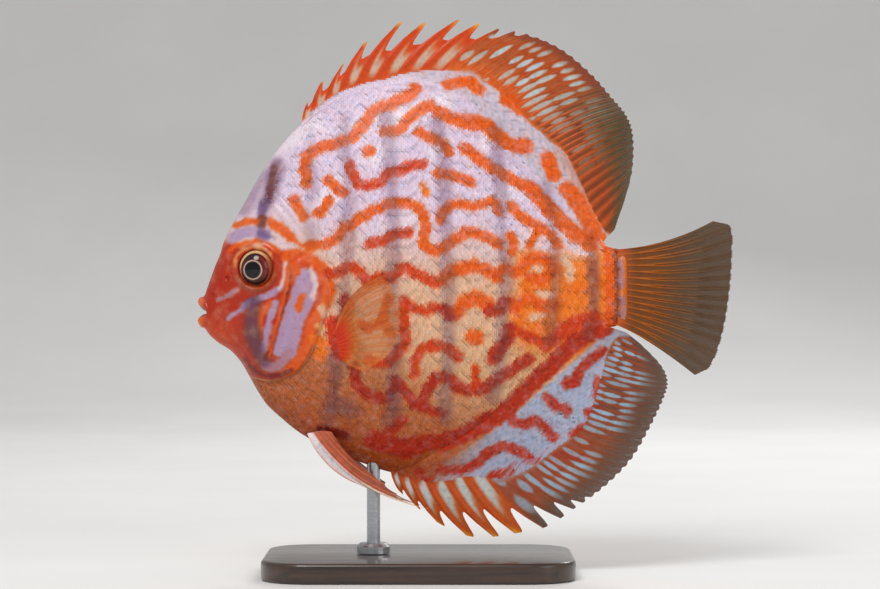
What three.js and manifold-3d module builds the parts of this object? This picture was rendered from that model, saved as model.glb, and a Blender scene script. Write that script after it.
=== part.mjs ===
// A life-size discus fish, a tall, flat freshwater cichlid, held on a small display stand.
// Millimetres, +Z up. The snout points along -X and the left flank faces -Y.
// The fish is drawn in its own side plane: u runs back from the lips, v up from the middle of the tail root.

import * as THREE from "three";
import { mergeVertices } from "three/addons/utils/BufferGeometryUtils.js";
import Module from "manifold-3d";

const wasm = await Module();
wasm.setup();

// Driving sizes
const TOTAL_LENGTH = 160; // front of the lips to the end of the tail fin
const TAIL_ROOT = 126; // where the tail fin leaves the body
const AXIS_HEIGHT = 85.5; // middle of the tail root above the floor
const GAP = 0.3; // clearance between neighbouring pieces
const EYE = { u: 17.4, v: 5.0, radius: 5.2, depth: 3.6, proud: 1.5, rim: 0.7 };
const NOSTRIL = { u: 8.4, v: 2.4, radius: 0.55, depth: 1.2 };
const GILL_LIFT = 0.9; // how far the gill cover's rear edge stands off the flank
const GILL_PLATE = 1.6; // thickness of the gill cover
const SPINE_HALF = 0.5; // half the thickness of a fin spine at its root
const RAY_HALF = 0.42; // half the thickness of a soft fin ray at its root
const WEB_HALF = 0.27; // half the thickness of the membrane between the rays
const BASE = { length: 92, width: 60, thick: 6, corner: 14, bevel: 1, centre: -14 };
const ROD = { u: 52.5, radius: 2, collar: 5, collarHeight: 3 };

// A smooth curve through [x, y] pairs, as a function of x that is level past both ends.
function through(...points) {
  const last = points.length - 1;
  const slope = points.map((_, i) => {
    const a = points[Math.max(0, i - 1)];
    const b = points[Math.min(last, i + 1)];
    return (b[1] - a[1]) / (b[0] - a[0]);
  });
  return (x) => {
    if (x <= points[0][0]) return points[0][1];
    if (x >= points[last][0]) return points[last][1];
    const i = points.findIndex((p) => x < p[0]) - 1;
    const [x0, y0] = points[i];
    const [x1, y1] = points[i + 1];
    const w = x1 - x0;
    const t = (x - x0) / w;
    const s = 1 - t;
    return s * s * (1 + 2 * t) * y0 + t * t * (3 - 2 * t) * y1 + w * t * s * (s * slope[i] - t * slope[i + 1]);
  };
}

const smooth = (low, high, x) => THREE.MathUtils.smoothstep(x, low, high);
const mix = THREE.MathUtils.lerp;
const place = (u, y, v) => new THREE.Vector3(u - TOTAL_LENGTH / 2, y, v + AXIS_HEIGHT);

// Body outline. A ring of the body is numbered by q: below 3 the rings turn in over the lips, and past 5 q is u.
const topU = through([-3, 3.4], [-2, 2.6], [-1, 1.5], [0, 0.2], [1, 0.6], [2, 2.0], [3, 2.8], [4, 3.9], [5, 5], [6, 6], [160, 160]);
const topV = through(
  [-3, -7.5], [-2, -7.2], [-1, -6.6], [0, -4.8], [1, -3.2], [2, -2.7], [3, -0.6], [4, 2.5], [5.4, 6.6], [6.7, 9.6],
  [7.8, 13.2], [9.5, 17.2], [14.5, 25.9], [19.2, 34.3], [24.6, 41.9], [31.5, 49.2], [41.6, 56.5], [53.5, 60.6],
  [66, 61.4], [76, 58.2], [85, 50.6], [92, 42.8], [97, 36.8], [102, 31.6], [108, 26], [116, 17], [120.5, 13.2],
  [123.3, 11.9], [126.1, 11.4],
);
const bottomU = through([-3, 3.4], [-2, 2.6], [-1, 1.5], [0, 0.1], [1, 0.8], [2, 2.2], [3, 3.1], [4, 4], [5, 5], [6, 6], [160, 160]);
const bottomV = through(
  [-3, -7.7], [-2, -8.0], [-1, -8.3], [0, -9.8], [1, -11.7], [2, -12.4], [3, -13.7], [4.5, -15.2], [6.5, -16.8],
  [9.9, -19], [13, -22.4], [14.9, -25.6], [16.8, -29.2], [19.1, -33], [21, -35.6], [25.2, -39.4], [29.4, -42.9],
  [34, -45.8], [39.5, -49], [50.2, -53], [57.4, -55.3], [63, -55.2], [70, -52.8], [78.3, -48.4], [87.2, -42.4],
  [94.7, -36.4], [102.1, -30], [108.1, -24.8], [114.1, -19.4], [120.5, -13.6], [123.3, -12.1], [126.1, -11.6],
);
const sideU = through([-3, 3.4], [-2, 3.6], [-1, 3.6], [0, 3.0], [1, 3.2], [2, 3.9], [3, 4.2], [4, 4.6], [5, 5.2], [6, 6], [160, 160]);
const sideV = through([-3, -7.6], [2, -7.5], [6, -5], [12, -2], [20, -0.5], [40, 1], [70, 2], [100, 1], [126, 0]);
const halfWidth = through(
  [-3, 0], [-2, 2.2], [-1, 3.0], [0, 3.4], [1, 4.2], [2, 4.3], [3, 4.6], [5, 5.6], [8, 7.2], [12, 8.8], [17, 10.1],
  [25, 11.6], [35, 12.7], [46, 13.2], [60, 12.6], [75, 11.1], [90, 8.9], [105, 6.5], [116, 4.7], [126, 3.4],
);
// 1 is an oval section; higher numbers thin it towards the back and belly edges.
const keel = through([-3, 1], [3, 1], [10, 1.25], [25, 1.4], [60, 1.45], [105, 1.4], [118, 1.15], [126, 0.9]);

// Distance from a point to the gill cover's rear edge, and the lift it gives to the head there.
const gillEdge = new THREE.SplineCurve(
  [[27, 60], [29.5, 44], [33, 28], [34.8, 15], [36.6, 6.5], [38.9, -0.6], [38.4, -6], [36.6, -11], [34.2, -18],
    [30.4, -24], [25.5, -26.9], [20.6, -27.6], [14.9, -26.2], [8, -24]].map(([u, v]) => new THREE.Vector2(u, v)),
);
const gillPoints = gillEdge.getPoints(56);
const gillCorner = 9; // v of the gill slit's upper end
function gillLift(u, v) {
  const near = Math.min(...gillPoints.map((p) => Math.hypot(p.x - u, p.y - v)));
  return GILL_LIFT * (1 - smooth(0, 11, near)) * (1 - smooth(gillCorner - 9, gillCorner, v)) * smooth(13, 20, u);
}

// The brow stands out over the eye and the snout is hollow in front of it.
const dent = (u, v, at, radius, amount) => amount * Math.exp(-((u - at[0]) ** 2 + (v - at[1]) ** 2) / radius ** 2);
const faceShape = (u, v) =>
  dent(u, v, [EYE.u, EYE.v], 7.5, 0.7) + dent(u, v, [9.5, -3], 4.5, -0.5) + dent(u, v, [18, -12], 8, 0.7);

// A point of the body's skin: q numbers the ring and turn runs once round it, starting at the left flank.
function skin(q, turn, grow, lift) {
  const c = Math.cos(turn * 2 * Math.PI);
  const s = Math.sin(turn * 2 * Math.PI);
  const side = s * s;
  const edge = s > 0 ? topV(q) : bottomV(q);
  const mid = sideV(q);
  const u = mix(sideU(q), s > 0 ? topU(q) : bottomU(q), side);
  const v = mid + (edge + Math.sign(s) * grow - mid) * Math.abs(s);
  const flank = halfWidth(q) * Math.abs(c) ** keel(q);
  const extra = (lift ? gillLift(u, v) : 0) + (q > 3 ? faceShape(u, v) : 0);
  const width = flank > 0 ? flank + (extra + grow) * Math.abs(c) ** 0.5 : 0;
  return place(u, -Math.sign(c) * width, v);
}

// A closed solid from a geometry whose vertices are moved by their uv.
function solidOf(geometry) {
  geometry.deleteAttribute("normal");
  geometry.deleteAttribute("uv");
  const merged = mergeVertices(geometry, 1e-4);
  const made = new wasm.Manifold(
    new wasm.Mesh({
      numProp: 3,
      vertProperties: merged.attributes.position.array,
      triVerts: new Uint32Array(merged.index.array),
    }),
  );
  return made;
}

function moved(geometry, move) {
  const { position, uv } = geometry.attributes;
  for (let i = 0; i < position.count; i++) {
    const p = move(uv.getX(i), uv.getY(i), new THREE.Vector3().fromBufferAttribute(position, i));
    position.setXYZ(i, p.x, p.y, p.z);
  }
  return geometry;
}

// Rings are close on the lips and head and wider on the flank; both ends close on a point.
const ringAt = through([0, -3], [0.1, 0], [0.17, 3], [0.42, 20], [0.62, 42], [0.96, 123], [0.999, TAIL_ROOT]);
const RINGS = 42;
const ROUND = 36;
function bodySolid(grow = 0, lift = false) {
  const ball = new THREE.SphereGeometry(1, ROUND, RINGS);
  const made = moved(ball, (turn, height) => {
    const along = 1 - height;
    if (along < 1e-6) return place(topU(-3) - grow, 0, sideV(-3));
    if (along > 1 - 1e-6) return place(TAIL_ROOT + grow, 0, 0);
    const q = ringAt(Math.min(1, along * RINGS / (RINGS - 1)));
    const p = skin(q, turn > 1 - 1e-6 ? 0 : turn, grow, lift);
    if (q >= TAIL_ROOT - 1e-6) p.x += grow;
    return p;
  });
  return solidOf(made);
}

// A block with the given outline in the side plane, through the whole width of the fish.
function block(points) {
  const shape = new THREE.Shape(points.map(([u, v]) => new THREE.Vector2(u, v)));
  const depth = 60;
  const made = new THREE.ExtrudeGeometry(shape, { depth, bevelEnabled: false });
  made.translate(0, 0, -depth / 2);
  made.rotateX(Math.PI / 2);
  made.translate(-TOTAL_LENGTH / 2, 0, AXIS_HEIGHT);
  return solidOf(made);
}

// The largest closed piece of a cut, without the slivers that a cut leaves.
const SLIVER = 0.02;
function largest(solid) {
  return solid.decompose().sort((a, b) => b.volume() - a.volume())[0].simplify(SLIVER);
}

function meshOf(name, solid, color, roughness = 0.45) {
  const { vertProperties, triVerts, numProp, numVert } = largest(solid).getMesh();
  const positions = new Float32Array(numVert * 3);
  for (let i = 0; i < numVert; i++) positions.set(vertProperties.subarray(i * numProp, i * numProp + 3), i * 3);
  const geometry = new THREE.BufferGeometry();
  geometry.setAttribute("position", new THREE.BufferAttribute(positions, 3));
  geometry.setIndex(new THREE.BufferAttribute(new Uint32Array(triVerts), 1));
  geometry.computeVertexNormals();
  const mesh = new THREE.Mesh(geometry, new THREE.MeshStandardMaterial({ color, roughness, metalness: 0 }));
  mesh.name = name;
  return mesh;
}

// A thin fin: a plane of columns and rows, its second face a copy split the same way, closed round the rim.
// at(column, row) gives { centre, across, half }: a point, the direction of thickness and half the thickness.
function finSolid(columns, rows, at) {
  const plane = new THREE.PlaneGeometry(1, 1, columns, rows);
  const count = plane.attributes.position.count;
  const positions = new Float32Array(count * 6);
  for (let i = 0; i < count; i++) {
    const column = i % (columns + 1);
    const row = rows - Math.floor(i / (columns + 1));
    const { centre, across, half } = at(column, row);
    const near = centre.clone().addScaledVector(across, half);
    const far = centre.clone().addScaledVector(across, -half);
    positions.set([near.x, near.y, near.z], i * 3);
    positions.set([far.x, far.y, far.z], (count + i) * 3);
  }
  const face = [...plane.index.array];
  const index = [...face];
  for (let i = 0; i < face.length; i += 3) index.push(count + face[i], count + face[i + 2], count + face[i + 1]);
  const rim = [];
  const wide = columns + 1;
  for (let c = 0; c < columns; c++) rim.push([c, c + 1], [rows * wide + c + 1, rows * wide + c]);
  for (let r = 0; r < rows; r++) rim.push([(r + 1) * wide, r * wide], [(r + 1) * wide - 1, (r + 2) * wide - 1]);
  for (const [a, b] of rim) index.push(a, b, count + b, a, count + b, count + a);
  const made = new THREE.BufferGeometry();
  made.setAttribute("position", new THREE.BufferAttribute(positions, 3));
  made.setIndex(index);
  const solid = solidOf(made);
  if (solid.volume() > 0) return solid;
  for (let i = 0; i < index.length; i += 3) [index[i + 1], index[i + 2]] = [index[i + 2], index[i + 1]];
  made.setIndex(index);
  return solidOf(made);
}

// A fan of rays. Each key ray is [place, rootU, rootV, tipU, tipV]; rays between keys are blended.
// sweep bends a ray: its middle leaves the straight line by that share of its length.
function rayFan(keys, sweep) {
  const parts = [1, 2, 3, 4].map((k) => through(...keys.map((key) => [key[0], key[k]])));
  return (index, share) => {
    const [ru, rv, tu, tv] = parts.map((part) => part(index));
    const bow = 4 * share * (1 - share) * sweep(index);
    return {
      u: mix(ru, tu, share) + (tv - rv) * bow,
      v: mix(rv, tv, share) - (tu - ru) * bow,
    };
  };
}

const crossY = new THREE.Vector3(0, -1, 0);

// Dorsal fin: nine spines with free tips, then thirty soft rays.
const DORSAL_SPINES = 9;
const DORSAL_RAYS = 39;
const dorsalRay = rayFan(
  [[0, 31.2, 47, 32.4, 54.3], [1, 34.4, 50, 36.6, 60.8], [2, 38.2, 52.6, 43.1, 66.3], [3, 42.4, 55, 49.4, 72.6],
    [4, 47, 57, 60.2, 79.1], [5, 52.2, 58.4, 67, 78.8], [6, 57.8, 59, 77.3, 79.7], [7, 63.6, 59.2, 83.4, 78.6],
    [8, 69.2, 58.8, 87.6, 77.2], [10, 73.6, 57.5, 93.5, 76.4], [14, 80.5, 52.5, 102, 74.2], [18, 86, 47.4, 111, 69.5],
    [22, 91.6, 41, 118.5, 62.6], [26, 96.6, 35, 124.5, 55.5], [30, 102.2, 29.4, 129.6, 48.5], [34, 110, 22, 130, 38.5],
    [36.5, 115.6, 15.6, 128.4, 29], [38, 119.6, 12, 124.4, 17.2]],
  (i) => mix(0.1, 0.05, smooth(0, 20, i)),
);
// How far the membrane behind each spine is notched, as a share of the spine.
const dorsalNotch = (i) => mix(0.5, 0.02, smooth(4, DORSAL_SPINES + 1, i));

// Anal fin: seven spines with free tips, then thirty soft rays.
const ANAL_SPINES = 7;
const ANAL_RAYS = 37;
const analRay = rayFan(
  [[0, 57.4, -53.2, 60, -60.8], [1, 59.8, -53.2, 64.8, -65.2], [2, 62.8, -53.2, 71.4, -70.2], [3, 67, -52.4, 80.2, -74.2],
    [4, 71.6, -50.6, 88.2, -74.5], [5, 76.2, -48, 94.6, -73.5], [6, 80.8, -45.4, 103, -71.9], [8, 85.4, -42.2, 109.5, -67.6],
    [12, 91.2, -37.4, 116.6, -63.4], [16, 96.8, -32.8, 123.2, -57.8], [20, 101.8, -28.6, 129.8, -51], [25, 107.4, -23.6, 136, -39.6],
    [29, 112.2, -19.4, 140.2, -29.6], [32.5, 117, -15.2, 138.6, -23.8], [35, 120.6, -12.4, 132.6, -17.4], [36, 122, -11.6, 128, -13.6]],
  (i) => -mix(0.06, 0.13, smooth(4, 22, i)) * (1 - smooth(26, 36, i)),
);
const analNotch = (i) => mix(0.42, 0.02, smooth(3, ANAL_SPINES + 2, i));

// One upright fin in the middle plane. A spine takes four columns and a soft ray two, ridge and membrane in turn.
function uprightFin(ray, notch, spines, rays, rootHalf, wave) {
  const columns = [];
  for (let i = 0; i < rays; i++) {
    const spiny = i < spines;
    const last = i === rays - 1;
    columns.push({ index: i, reach: 1, ridge: 1, spiny });
    if (last) break;
    if (spiny) {
      columns.push({ index: i + 0.3, reach: 1 - notch(i) * 0.45, ridge: 0, spiny });
      columns.push({ index: i + 0.72, reach: 1 - notch(i), ridge: 0, spiny });
    } else columns.push({ index: i + 0.5, reach: 0.985, ridge: 0, spiny });
  }
  const rows = 5;
  return finSolid(columns.length - 1, rows, (c, r) => {
    const { index, reach, ridge, spiny } = columns[c];
    const share = (r / rows) ** 0.9 * reach;
    const { u, v } = ray(index, share);
    const thick = ridge ? (spiny ? SPINE_HALF : RAY_HALF) * 1.25 : WEB_HALF;
    const half = mix(rootHalf, Math.max(mix(thick, WEB_HALF * 0.9, share), 0.2), smooth(0, 0.32, share));
    return { centre: place(u, wave(index, share), v), across: crossY, half };
  });
}

// Tail fin: fifteen rays in a fan, starting just behind the flat end of the tail root.
const TAIL_RAYS = 15;
const tailRay = rayFan(
  [[0, 126.3, 11.2, 154.4, 19.7], [1, 126.3, 9.6, 159.4, 18.2], [3, 126.3, 6.6, 160, 9.8], [7, 126.3, -0.4, 159, -3.4],
    [11, 126.3, -6.8, 156.6, -16], [13, 126.3, -9.8, 153.2, -24], [14, 126.3, -11.4, 149, -26.3]],
  (i) => mix(0.05, -0.02, i / 14),
);
const tailWave = (share) => 3.2 * share * share;
function tailFin() {
  const rows = 8;
  return finSolid(2 * (TAIL_RAYS - 1), rows, (c, r) => {
    const share = r / rows;
    const { u, v } = tailRay(c / 2, share);
    const ray = mix(RAY_HALF * 1.3, 0.24, share);
    const half = mix(2.9, c % 2 ? WEB_HALF * 0.85 : ray, smooth(0, 0.2, share));
    return { centre: place(u - (c % 2 ? share * 0.5 : 0), tailWave(share), v), across: crossY, half };
  });
}

// Paired fins. The right one is the left one turned over the middle plane.
const PECTORAL = { rays: 12, splay: 0.36, rootHalf: 1.1 };
const pectoralRay = rayFan(
  [[0, 42, -12.4, 55.6, 3.4], [3, 42, -14, 59.6, -2.4], [6, 42.4, -16.4, 60.8, -10.4], [9, 42.8, -18.8, 57.6, -19.4], [11, 43, -20.6, 50.4, -24.8]],
  (i) => mix(-0.14, 0.06, i / 11),
);
function pectoralFin() {
  const columns = 2 * (PECTORAL.rays - 1);
  return finSolid(columns, 5, (c, r) => {
    const share = r / 5;
    const index = c / 2;
    const { u, v } = pectoralRay(index, share * (c % 2 ? 0.975 : 1));
    const flank = halfWidth(u) * Math.max(0.2, 1 - (v / 58) ** 2) ** 0.72;
    const out = mix(flank - 1.2, 12.6 + 6.4 * share, smooth(0, 0.3, share)) + (share > 0.3 ? 0 : 0.2 * share);
    const web = c % 2 ? WEB_HALF : RAY_HALF;
    const half = mix(PECTORAL.rootHalf, mix(web, 0.22, share), smooth(0, 0.35, share));
    return { centre: place(u, -out, v), across: new THREE.Vector3(-Math.sin(PECTORAL.splay), -Math.cos(PECTORAL.splay), 0), half };
  });
}

// Pelvic fins: one strong spine, five soft rays, the first of them drawn out into a long thread.
const pelvicRay = rayFan(
  [[0, 33, -43.4, 50.4, -59.4], [1, 34.4, -43.1, 68.7, -65.8], [2, 35.8, -42.8, 59.4, -62], [3, 37.2, -42.6, 56, -58.6],
    [4, 38.6, -42.6, 53, -56], [5, 40.2, -42.8, 49.6, -53.6]],
  (i) => mix(0.12, 0.05, i / 5),
);
const PELVIC_ROOT_Y = 5.2;
// Each column is [ray, reach, ridge].
const PELVIC_COLUMNS = [[0, 1, 1], [0.5, 0.86, 0], [1, 1, 1], [1.5, 0.88, 0], [2, 0.98, 1], [2.5, 0.95, 0], [3, 1, 1], [3.5, 0.95, 0],
  [4, 1, 1], [4.5, 0.95, 0], [5, 1, 1]];
function pelvicFin() {
  return finSolid(PELVIC_COLUMNS.length - 1, 8, (c, r) => {
    const [index, reach, ridge] = PELVIC_COLUMNS[c];
    const share = (r / 8) * reach;
    const { u, v } = pelvicRay(index, share);
    const out = mix(PELVIC_ROOT_Y, 3.9, smooth(0, 0.5, share)) + 1.1 * (index / 5);
    const thick = ridge ? (index < 2 ? 0.62 : RAY_HALF) : WEB_HALF;
    const half = mix(0.9, mix(thick, 0.26, share), smooth(0, 0.3, share));
    return { centre: place(u, -out, v), across: crossY, half };
  });
}

// The eye is a flattened ball that looks out and slightly forward.
const EYE_TURN = 0.2;
function eyeBall(grow) {
  const ball = new THREE.SphereGeometry(1, 20, 10);
  ball.rotateX(Math.PI / 2);
  ball.scale(EYE.radius + grow, EYE.depth + grow, EYE.radius + grow);
  return ball;
}
const eyeSurface = -(skin(EYE.u, 0, 0, true).y) * 0.97;
const eyeCentreY = -(eyeSurface + EYE.proud - EYE.depth);
function atEye(geometry) {
  geometry.rotateZ(-EYE_TURN);
  const p = place(EYE.u, eyeCentreY, EYE.v);
  geometry.translate(p.x, p.y, p.z);
  return solidOf(geometry);
}
function eyeRim() {
  const ring = new THREE.TorusGeometry(EYE.radius + 0.35, EYE.rim, 5, 24);
  ring.rotateX(Math.PI / 2);
  ring.translate(0, -(EYE.depth - EYE.proud) - 0.1, 0);
  return atEye(ring);
}

const mirrored = (solid) => solid.mirror([0, 1, 0]);
const bothSides = (solid, tool, how) => solid[how](tool)[how](mirrored(tool));

function nostrilPit() {
  const pit = new THREE.CylinderGeometry(NOSTRIL.radius, NOSTRIL.radius * 0.6, 4, 8);
  const y = skin(NOSTRIL.u, 0.03, 0, false).y;
  const p = place(NOSTRIL.u, y - 2 + NOSTRIL.depth, NOSTRIL.v);
  pit.rotateX(Math.PI / 2);
  pit.translate(p.x, p.y, p.z);
  return solidOf(pit);
}

// The head is all in front of the gill cover's rear edge; the tail stalk is cut off across the body.
const edgePoints = (shift) => {
  const points = gillEdge.getPoints(40);
  return points.map((p, i) => {
    const a = points[Math.max(0, i - 1)];
    const b = points[Math.min(points.length - 1, i + 1)];
    const run = Math.hypot(b.x - a.x, b.y - a.y);
    return [p.x - ((b.y - a.y) / run) * shift, p.y + ((b.x - a.x) / run) * shift];
  });
};
const headBlock = (shift) => block([[-6, 60], ...edgePoints(shift), [-6, -24]]);
const STALK_AT = 113.5;
const coverFront = [[30.5, 8.6], [27.2, 5.2], [26, -0.7], [24.2, -8.3], [22.7, -16], [21.4, -20], [19.6, -23], [16, -32]];
const coverBlock = (shift) => block([[44, 8.6 + shift], ...coverFront.map(([u, v]) => [u - shift, v + shift * 0.4]), [44, -32]]);

const plainBody = bodySolid(0, false);
const liftedBody = bodySolid(0, true);
const bodyWithGap = bodySolid(GAP, false);
const stalk = block([[STALK_AT + GAP, 60], [STALK_AT + GAP, -60], [140, -60], [140, 60]]);
const beforeStalk = block([[-6, 80], [-6, -80], [STALK_AT, -80], [STALK_AT, 80]]);

let head = liftedBody.intersect(headBlock(0));
const cover = head.intersect(coverBlock(0)).subtract(bodySolid(-GILL_PLATE, true));
head = head.subtract(coverBlock(GAP).subtract(bodySolid(-GILL_PLATE - GAP, true)));
head = largest(head);
head = bothSides(head, eyeRim(), "add");
head = bothSides(head, atEye(eyeBall(GAP)), "subtract");
head = bothSides(head, nostrilPit(), "subtract");
const rightHalf = block([[-6, 80], [-6, -80], [180, -80], [180, 80]]).translate([0, 30, 0]);
const leftCover = largest(cover.subtract(rightHalf));

const torso = plainBody.intersect(beforeStalk).subtract(headBlock(GAP));
const tailStalk = plainBody.intersect(stalk);

const dorsalWave = (i, share) => 1.1 * share * share * Math.sin(i * 0.42);
const analWave = (i, share) => 1.0 * share * share * Math.sin(1 + i * 0.4);
const dorsal = uprightFin(dorsalRay, dorsalNotch, DORSAL_SPINES, DORSAL_RAYS, 1.7, dorsalWave).subtract(bodyWithGap);
const anal = uprightFin(analRay, analNotch, ANAL_SPINES, ANAL_RAYS, 1.7, analWave).subtract(bodyWithGap);
const tail = tailFin();
const pectoral = largest(pectoralFin().subtract(bodyWithGap));
const pelvic = largest(pelvicFin().subtract(bodyWithGap));

// Display stand: a flat base with one rod up to the belly between the pelvic fins.
function standBase() {
  const { length, width, thick, corner, bevel, centre } = BASE;
  const x = length / 2 - bevel;
  const y = width / 2 - bevel;
  const r = corner - bevel;
  const shape = new THREE.Shape();
  shape.absarc(x - r, y - r, r, 0, Math.PI / 2);
  shape.absarc(-x + r, y - r, r, Math.PI / 2, Math.PI);
  shape.absarc(-x + r, -y + r, r, Math.PI, 1.5 * Math.PI);
  shape.absarc(x - r, -y + r, r, 1.5 * Math.PI, 2 * Math.PI);
  const made = new THREE.ExtrudeGeometry(shape, {
    depth: thick - 2 * bevel, bevelThickness: bevel, bevelSize: bevel, bevelSegments: 1, curveSegments: 5,
  });
  made.translate(centre, 0, bevel);
  return solidOf(made);
}

function standRod() {
  const x = ROD.u - TOTAL_LENGTH / 2;
  const foot = BASE.thick + GAP;
  const top = AXIS_HEIGHT + bottomV(ROD.u) + 1.6;
  const { radius, collar, collarHeight } = ROD;
  const profile = [[0, foot], [collar, foot], [collar, foot + collarHeight - 1], [collar - 1, foot + collarHeight],
    [radius, foot + collarHeight], [radius, top], [0, top]].map(([r, z]) => new THREE.Vector2(r, z));
  const made = new THREE.LatheGeometry(profile, 20);
  made.rotateX(Math.PI / 2);
  made.translate(x, 0, 0);
  return solidOf(made);
}

const ORANGE = 0xd4602a;
const model = new THREE.Group();
model.add(
  meshOf("head", head, 0xd05a2c),
  meshOf("gill_cover_left", leftCover, 0xb79ac0),
  meshOf("gill_cover_right", mirrored(leftCover), 0xb79ac0),
  meshOf("torso", torso, 0xd9a37f),
  meshOf("tail_stalk", tailStalk, ORANGE),
  meshOf("eye_left", atEye(eyeBall(0)), 0x1a1014, 0.1),
  meshOf("eye_right", mirrored(atEye(eyeBall(0))), 0x1a1014, 0.1),
  meshOf("dorsal_fin", dorsal, 0xb8552c),
  meshOf("anal_fin", anal, 0xa85030),
  meshOf("tail_fin", tail, 0x8a5a38),
  meshOf("pectoral_fin_left", pectoral, 0xcf8a48),
  meshOf("pectoral_fin_right", mirrored(pectoral), 0xcf8a48),
  meshOf("pelvic_fin_left", pelvic, 0xb5553a),
  meshOf("pelvic_fin_right", mirrored(pelvic), 0xb5553a),
  meshOf("stand_base", standBase(), 0x24211f, 0.35),
  meshOf("stand_rod", standRod().subtract(bodyWithGap), 0xb9bcc0, 0.25),
);

export default model;
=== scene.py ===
"""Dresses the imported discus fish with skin, scales, eyes and rayed fins, and sets it in a pale studio.

Distances in the working functions are millimetres: u runs back from the lips, v up from the middle of the
tail root. place() turns them into the frame's metres. The left flank faces the camera.
"""

import bpy
import bmesh
import math
import numpy as np
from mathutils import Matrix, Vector


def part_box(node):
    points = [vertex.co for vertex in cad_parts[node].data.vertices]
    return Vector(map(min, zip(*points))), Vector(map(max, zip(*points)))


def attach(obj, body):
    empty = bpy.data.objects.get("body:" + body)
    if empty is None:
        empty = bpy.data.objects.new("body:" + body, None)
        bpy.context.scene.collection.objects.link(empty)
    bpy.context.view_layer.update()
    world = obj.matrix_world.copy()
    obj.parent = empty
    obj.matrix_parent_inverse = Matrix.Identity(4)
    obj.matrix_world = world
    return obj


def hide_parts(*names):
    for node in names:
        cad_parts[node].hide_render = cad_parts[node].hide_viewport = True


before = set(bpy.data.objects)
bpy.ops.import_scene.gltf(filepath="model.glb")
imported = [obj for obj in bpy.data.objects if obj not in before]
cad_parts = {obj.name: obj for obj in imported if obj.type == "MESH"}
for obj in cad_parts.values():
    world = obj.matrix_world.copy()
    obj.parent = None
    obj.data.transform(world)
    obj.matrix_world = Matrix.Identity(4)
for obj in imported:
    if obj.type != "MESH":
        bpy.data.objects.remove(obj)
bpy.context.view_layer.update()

LEFT = -1
RIGHT = 1
SIDES = (("left", LEFT), ("right", RIGHT))
MM = 0.001
TOTAL_LENGTH = 160.0
AXIS_HEIGHT = 85.5
random = np.random.default_rng(7)

# Where the photograph shows the fish: it is read in pixels, seen square on to the flank.
LENS = 105.0
SENSOR = 36.0
LIPS_PX = 197.5
AXIS_PX = 287.0
MM_PER_PX = 0.2982
PHOTO_SIZE = (880, 589)
DISTANCE = LENS / SENSOR * PHOTO_SIZE[0] * MM_PER_PX


def from_photo(points):
    """Pixel positions in the photograph as [u, v] in millimetres."""
    px = np.array(points, float)
    return np.stack([(px[:, 0] - LIPS_PX) * MM_PER_PX, (AXIS_PX - px[:, 1]) * MM_PER_PX], 1)


AIM = from_photo([(PHOTO_SIZE[0] / 2, PHOTO_SIZE[1] / 2)])[0]


def seen(u, y, v):
    """Where a point beside the middle plane shows in the square-on view, as [u, v] on that plane."""
    grow = 1 / (1 - np.abs(y) / DISTANCE)
    return AIM[0] + (u - AIM[0]) * grow, AIM[1] + (v - AIM[1]) * grow


def place(u, y, v):
    """Side-plane millimetres to the frame's metres."""
    u, y, v = np.broadcast_arrays(u, y, v)
    return np.stack([u - TOTAL_LENGTH / 2, y, v + AXIS_HEIGHT], -1) * MM


def smooth(low, high, x):
    """0 at low, 1 at high and a smooth rise between; low may be the larger."""
    t = np.clip((x - low) / (high - low), 0, 1)
    return t * t * (3 - 2 * t)


def mix(a, b, t):
    return a + (b - a) * t


def bell(x, middle, width):
    """1 at the middle, falling away smoothly on both sides."""
    return np.exp(-((x - middle) / width) ** 2)


def between(table, across, up):
    """A table's values at places between its cells, blended from the four around each."""
    across = np.clip(across, 0, table.shape[0] - 1.001)
    up = np.clip(up, 0, table.shape[1] - 1.001)
    i = across.astype(int)
    j = up.astype(int)
    a = across - i
    b = up - j
    if table.ndim > 2:
        a = a[..., None]
        b = b[..., None]
    lower = mix(table[i, j], table[i + 1, j], a)
    upper = mix(table[i, j + 1], table[i + 1, j + 1], a)
    return mix(lower, upper, b)


def through(*points):
    """A smooth curve through (x, y) pairs, level past both ends."""
    xs, ys = np.array(points, float).T
    last = len(xs) - 1
    before = np.maximum(np.arange(last + 1) - 1, 0)
    after = np.minimum(np.arange(last + 1) + 1, last)
    slope = (ys[after] - ys[before]) / (xs[after] - xs[before])

    def curve(x):
        x = np.clip(np.asarray(x, float), xs[0], xs[-1])
        i = np.clip(np.searchsorted(xs, x, side="right") - 1, 0, last - 1)
        w = xs[i + 1] - xs[i]
        t = (x - xs[i]) / w
        s = 1 - t
        ends = s * s * (1 + 2 * t) * ys[i] + t * t * (3 - 2 * t) * ys[i + 1]
        return ends + w * t * s * (s * slope[i] - t * slope[i + 1])

    return curve


def spline(points, steps=8):
    """Points along a smooth line through the given ones."""
    p = np.array(points, float)
    if len(p) < 3:
        return p
    padded = np.vstack([2 * p[0] - p[1], p, 2 * p[-1] - p[-2]])
    out = []
    for i in range(len(p) - 1):
        a, b, c, d = padded[i:i + 4]
        for t in np.arange(steps) / steps:
            out.append(0.5 * (2 * b + (c - a) * t + (2 * a - 5 * b + 4 * c - d) * t ** 2
                              + (3 * b - a - 3 * c + d) * t ** 3))
    out.append(p[-1])
    return np.array(out)


def line_distance(u, v, line):
    """Distance from each point to a line of points."""
    best = np.full(np.shape(u), 1e9)
    for (ax, ay), (bx, by) in zip(line[:-1], line[1:]):
        dx = bx - ax
        dy = by - ay
        t = np.clip(((u - ax) * dx + (v - ay) * dy) / max(dx * dx + dy * dy, 1e-9), 0, 1)
        best = np.minimum(best, (u - ax - t * dx) ** 2 + (v - ay - t * dy) ** 2)
    return np.sqrt(best)


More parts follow.
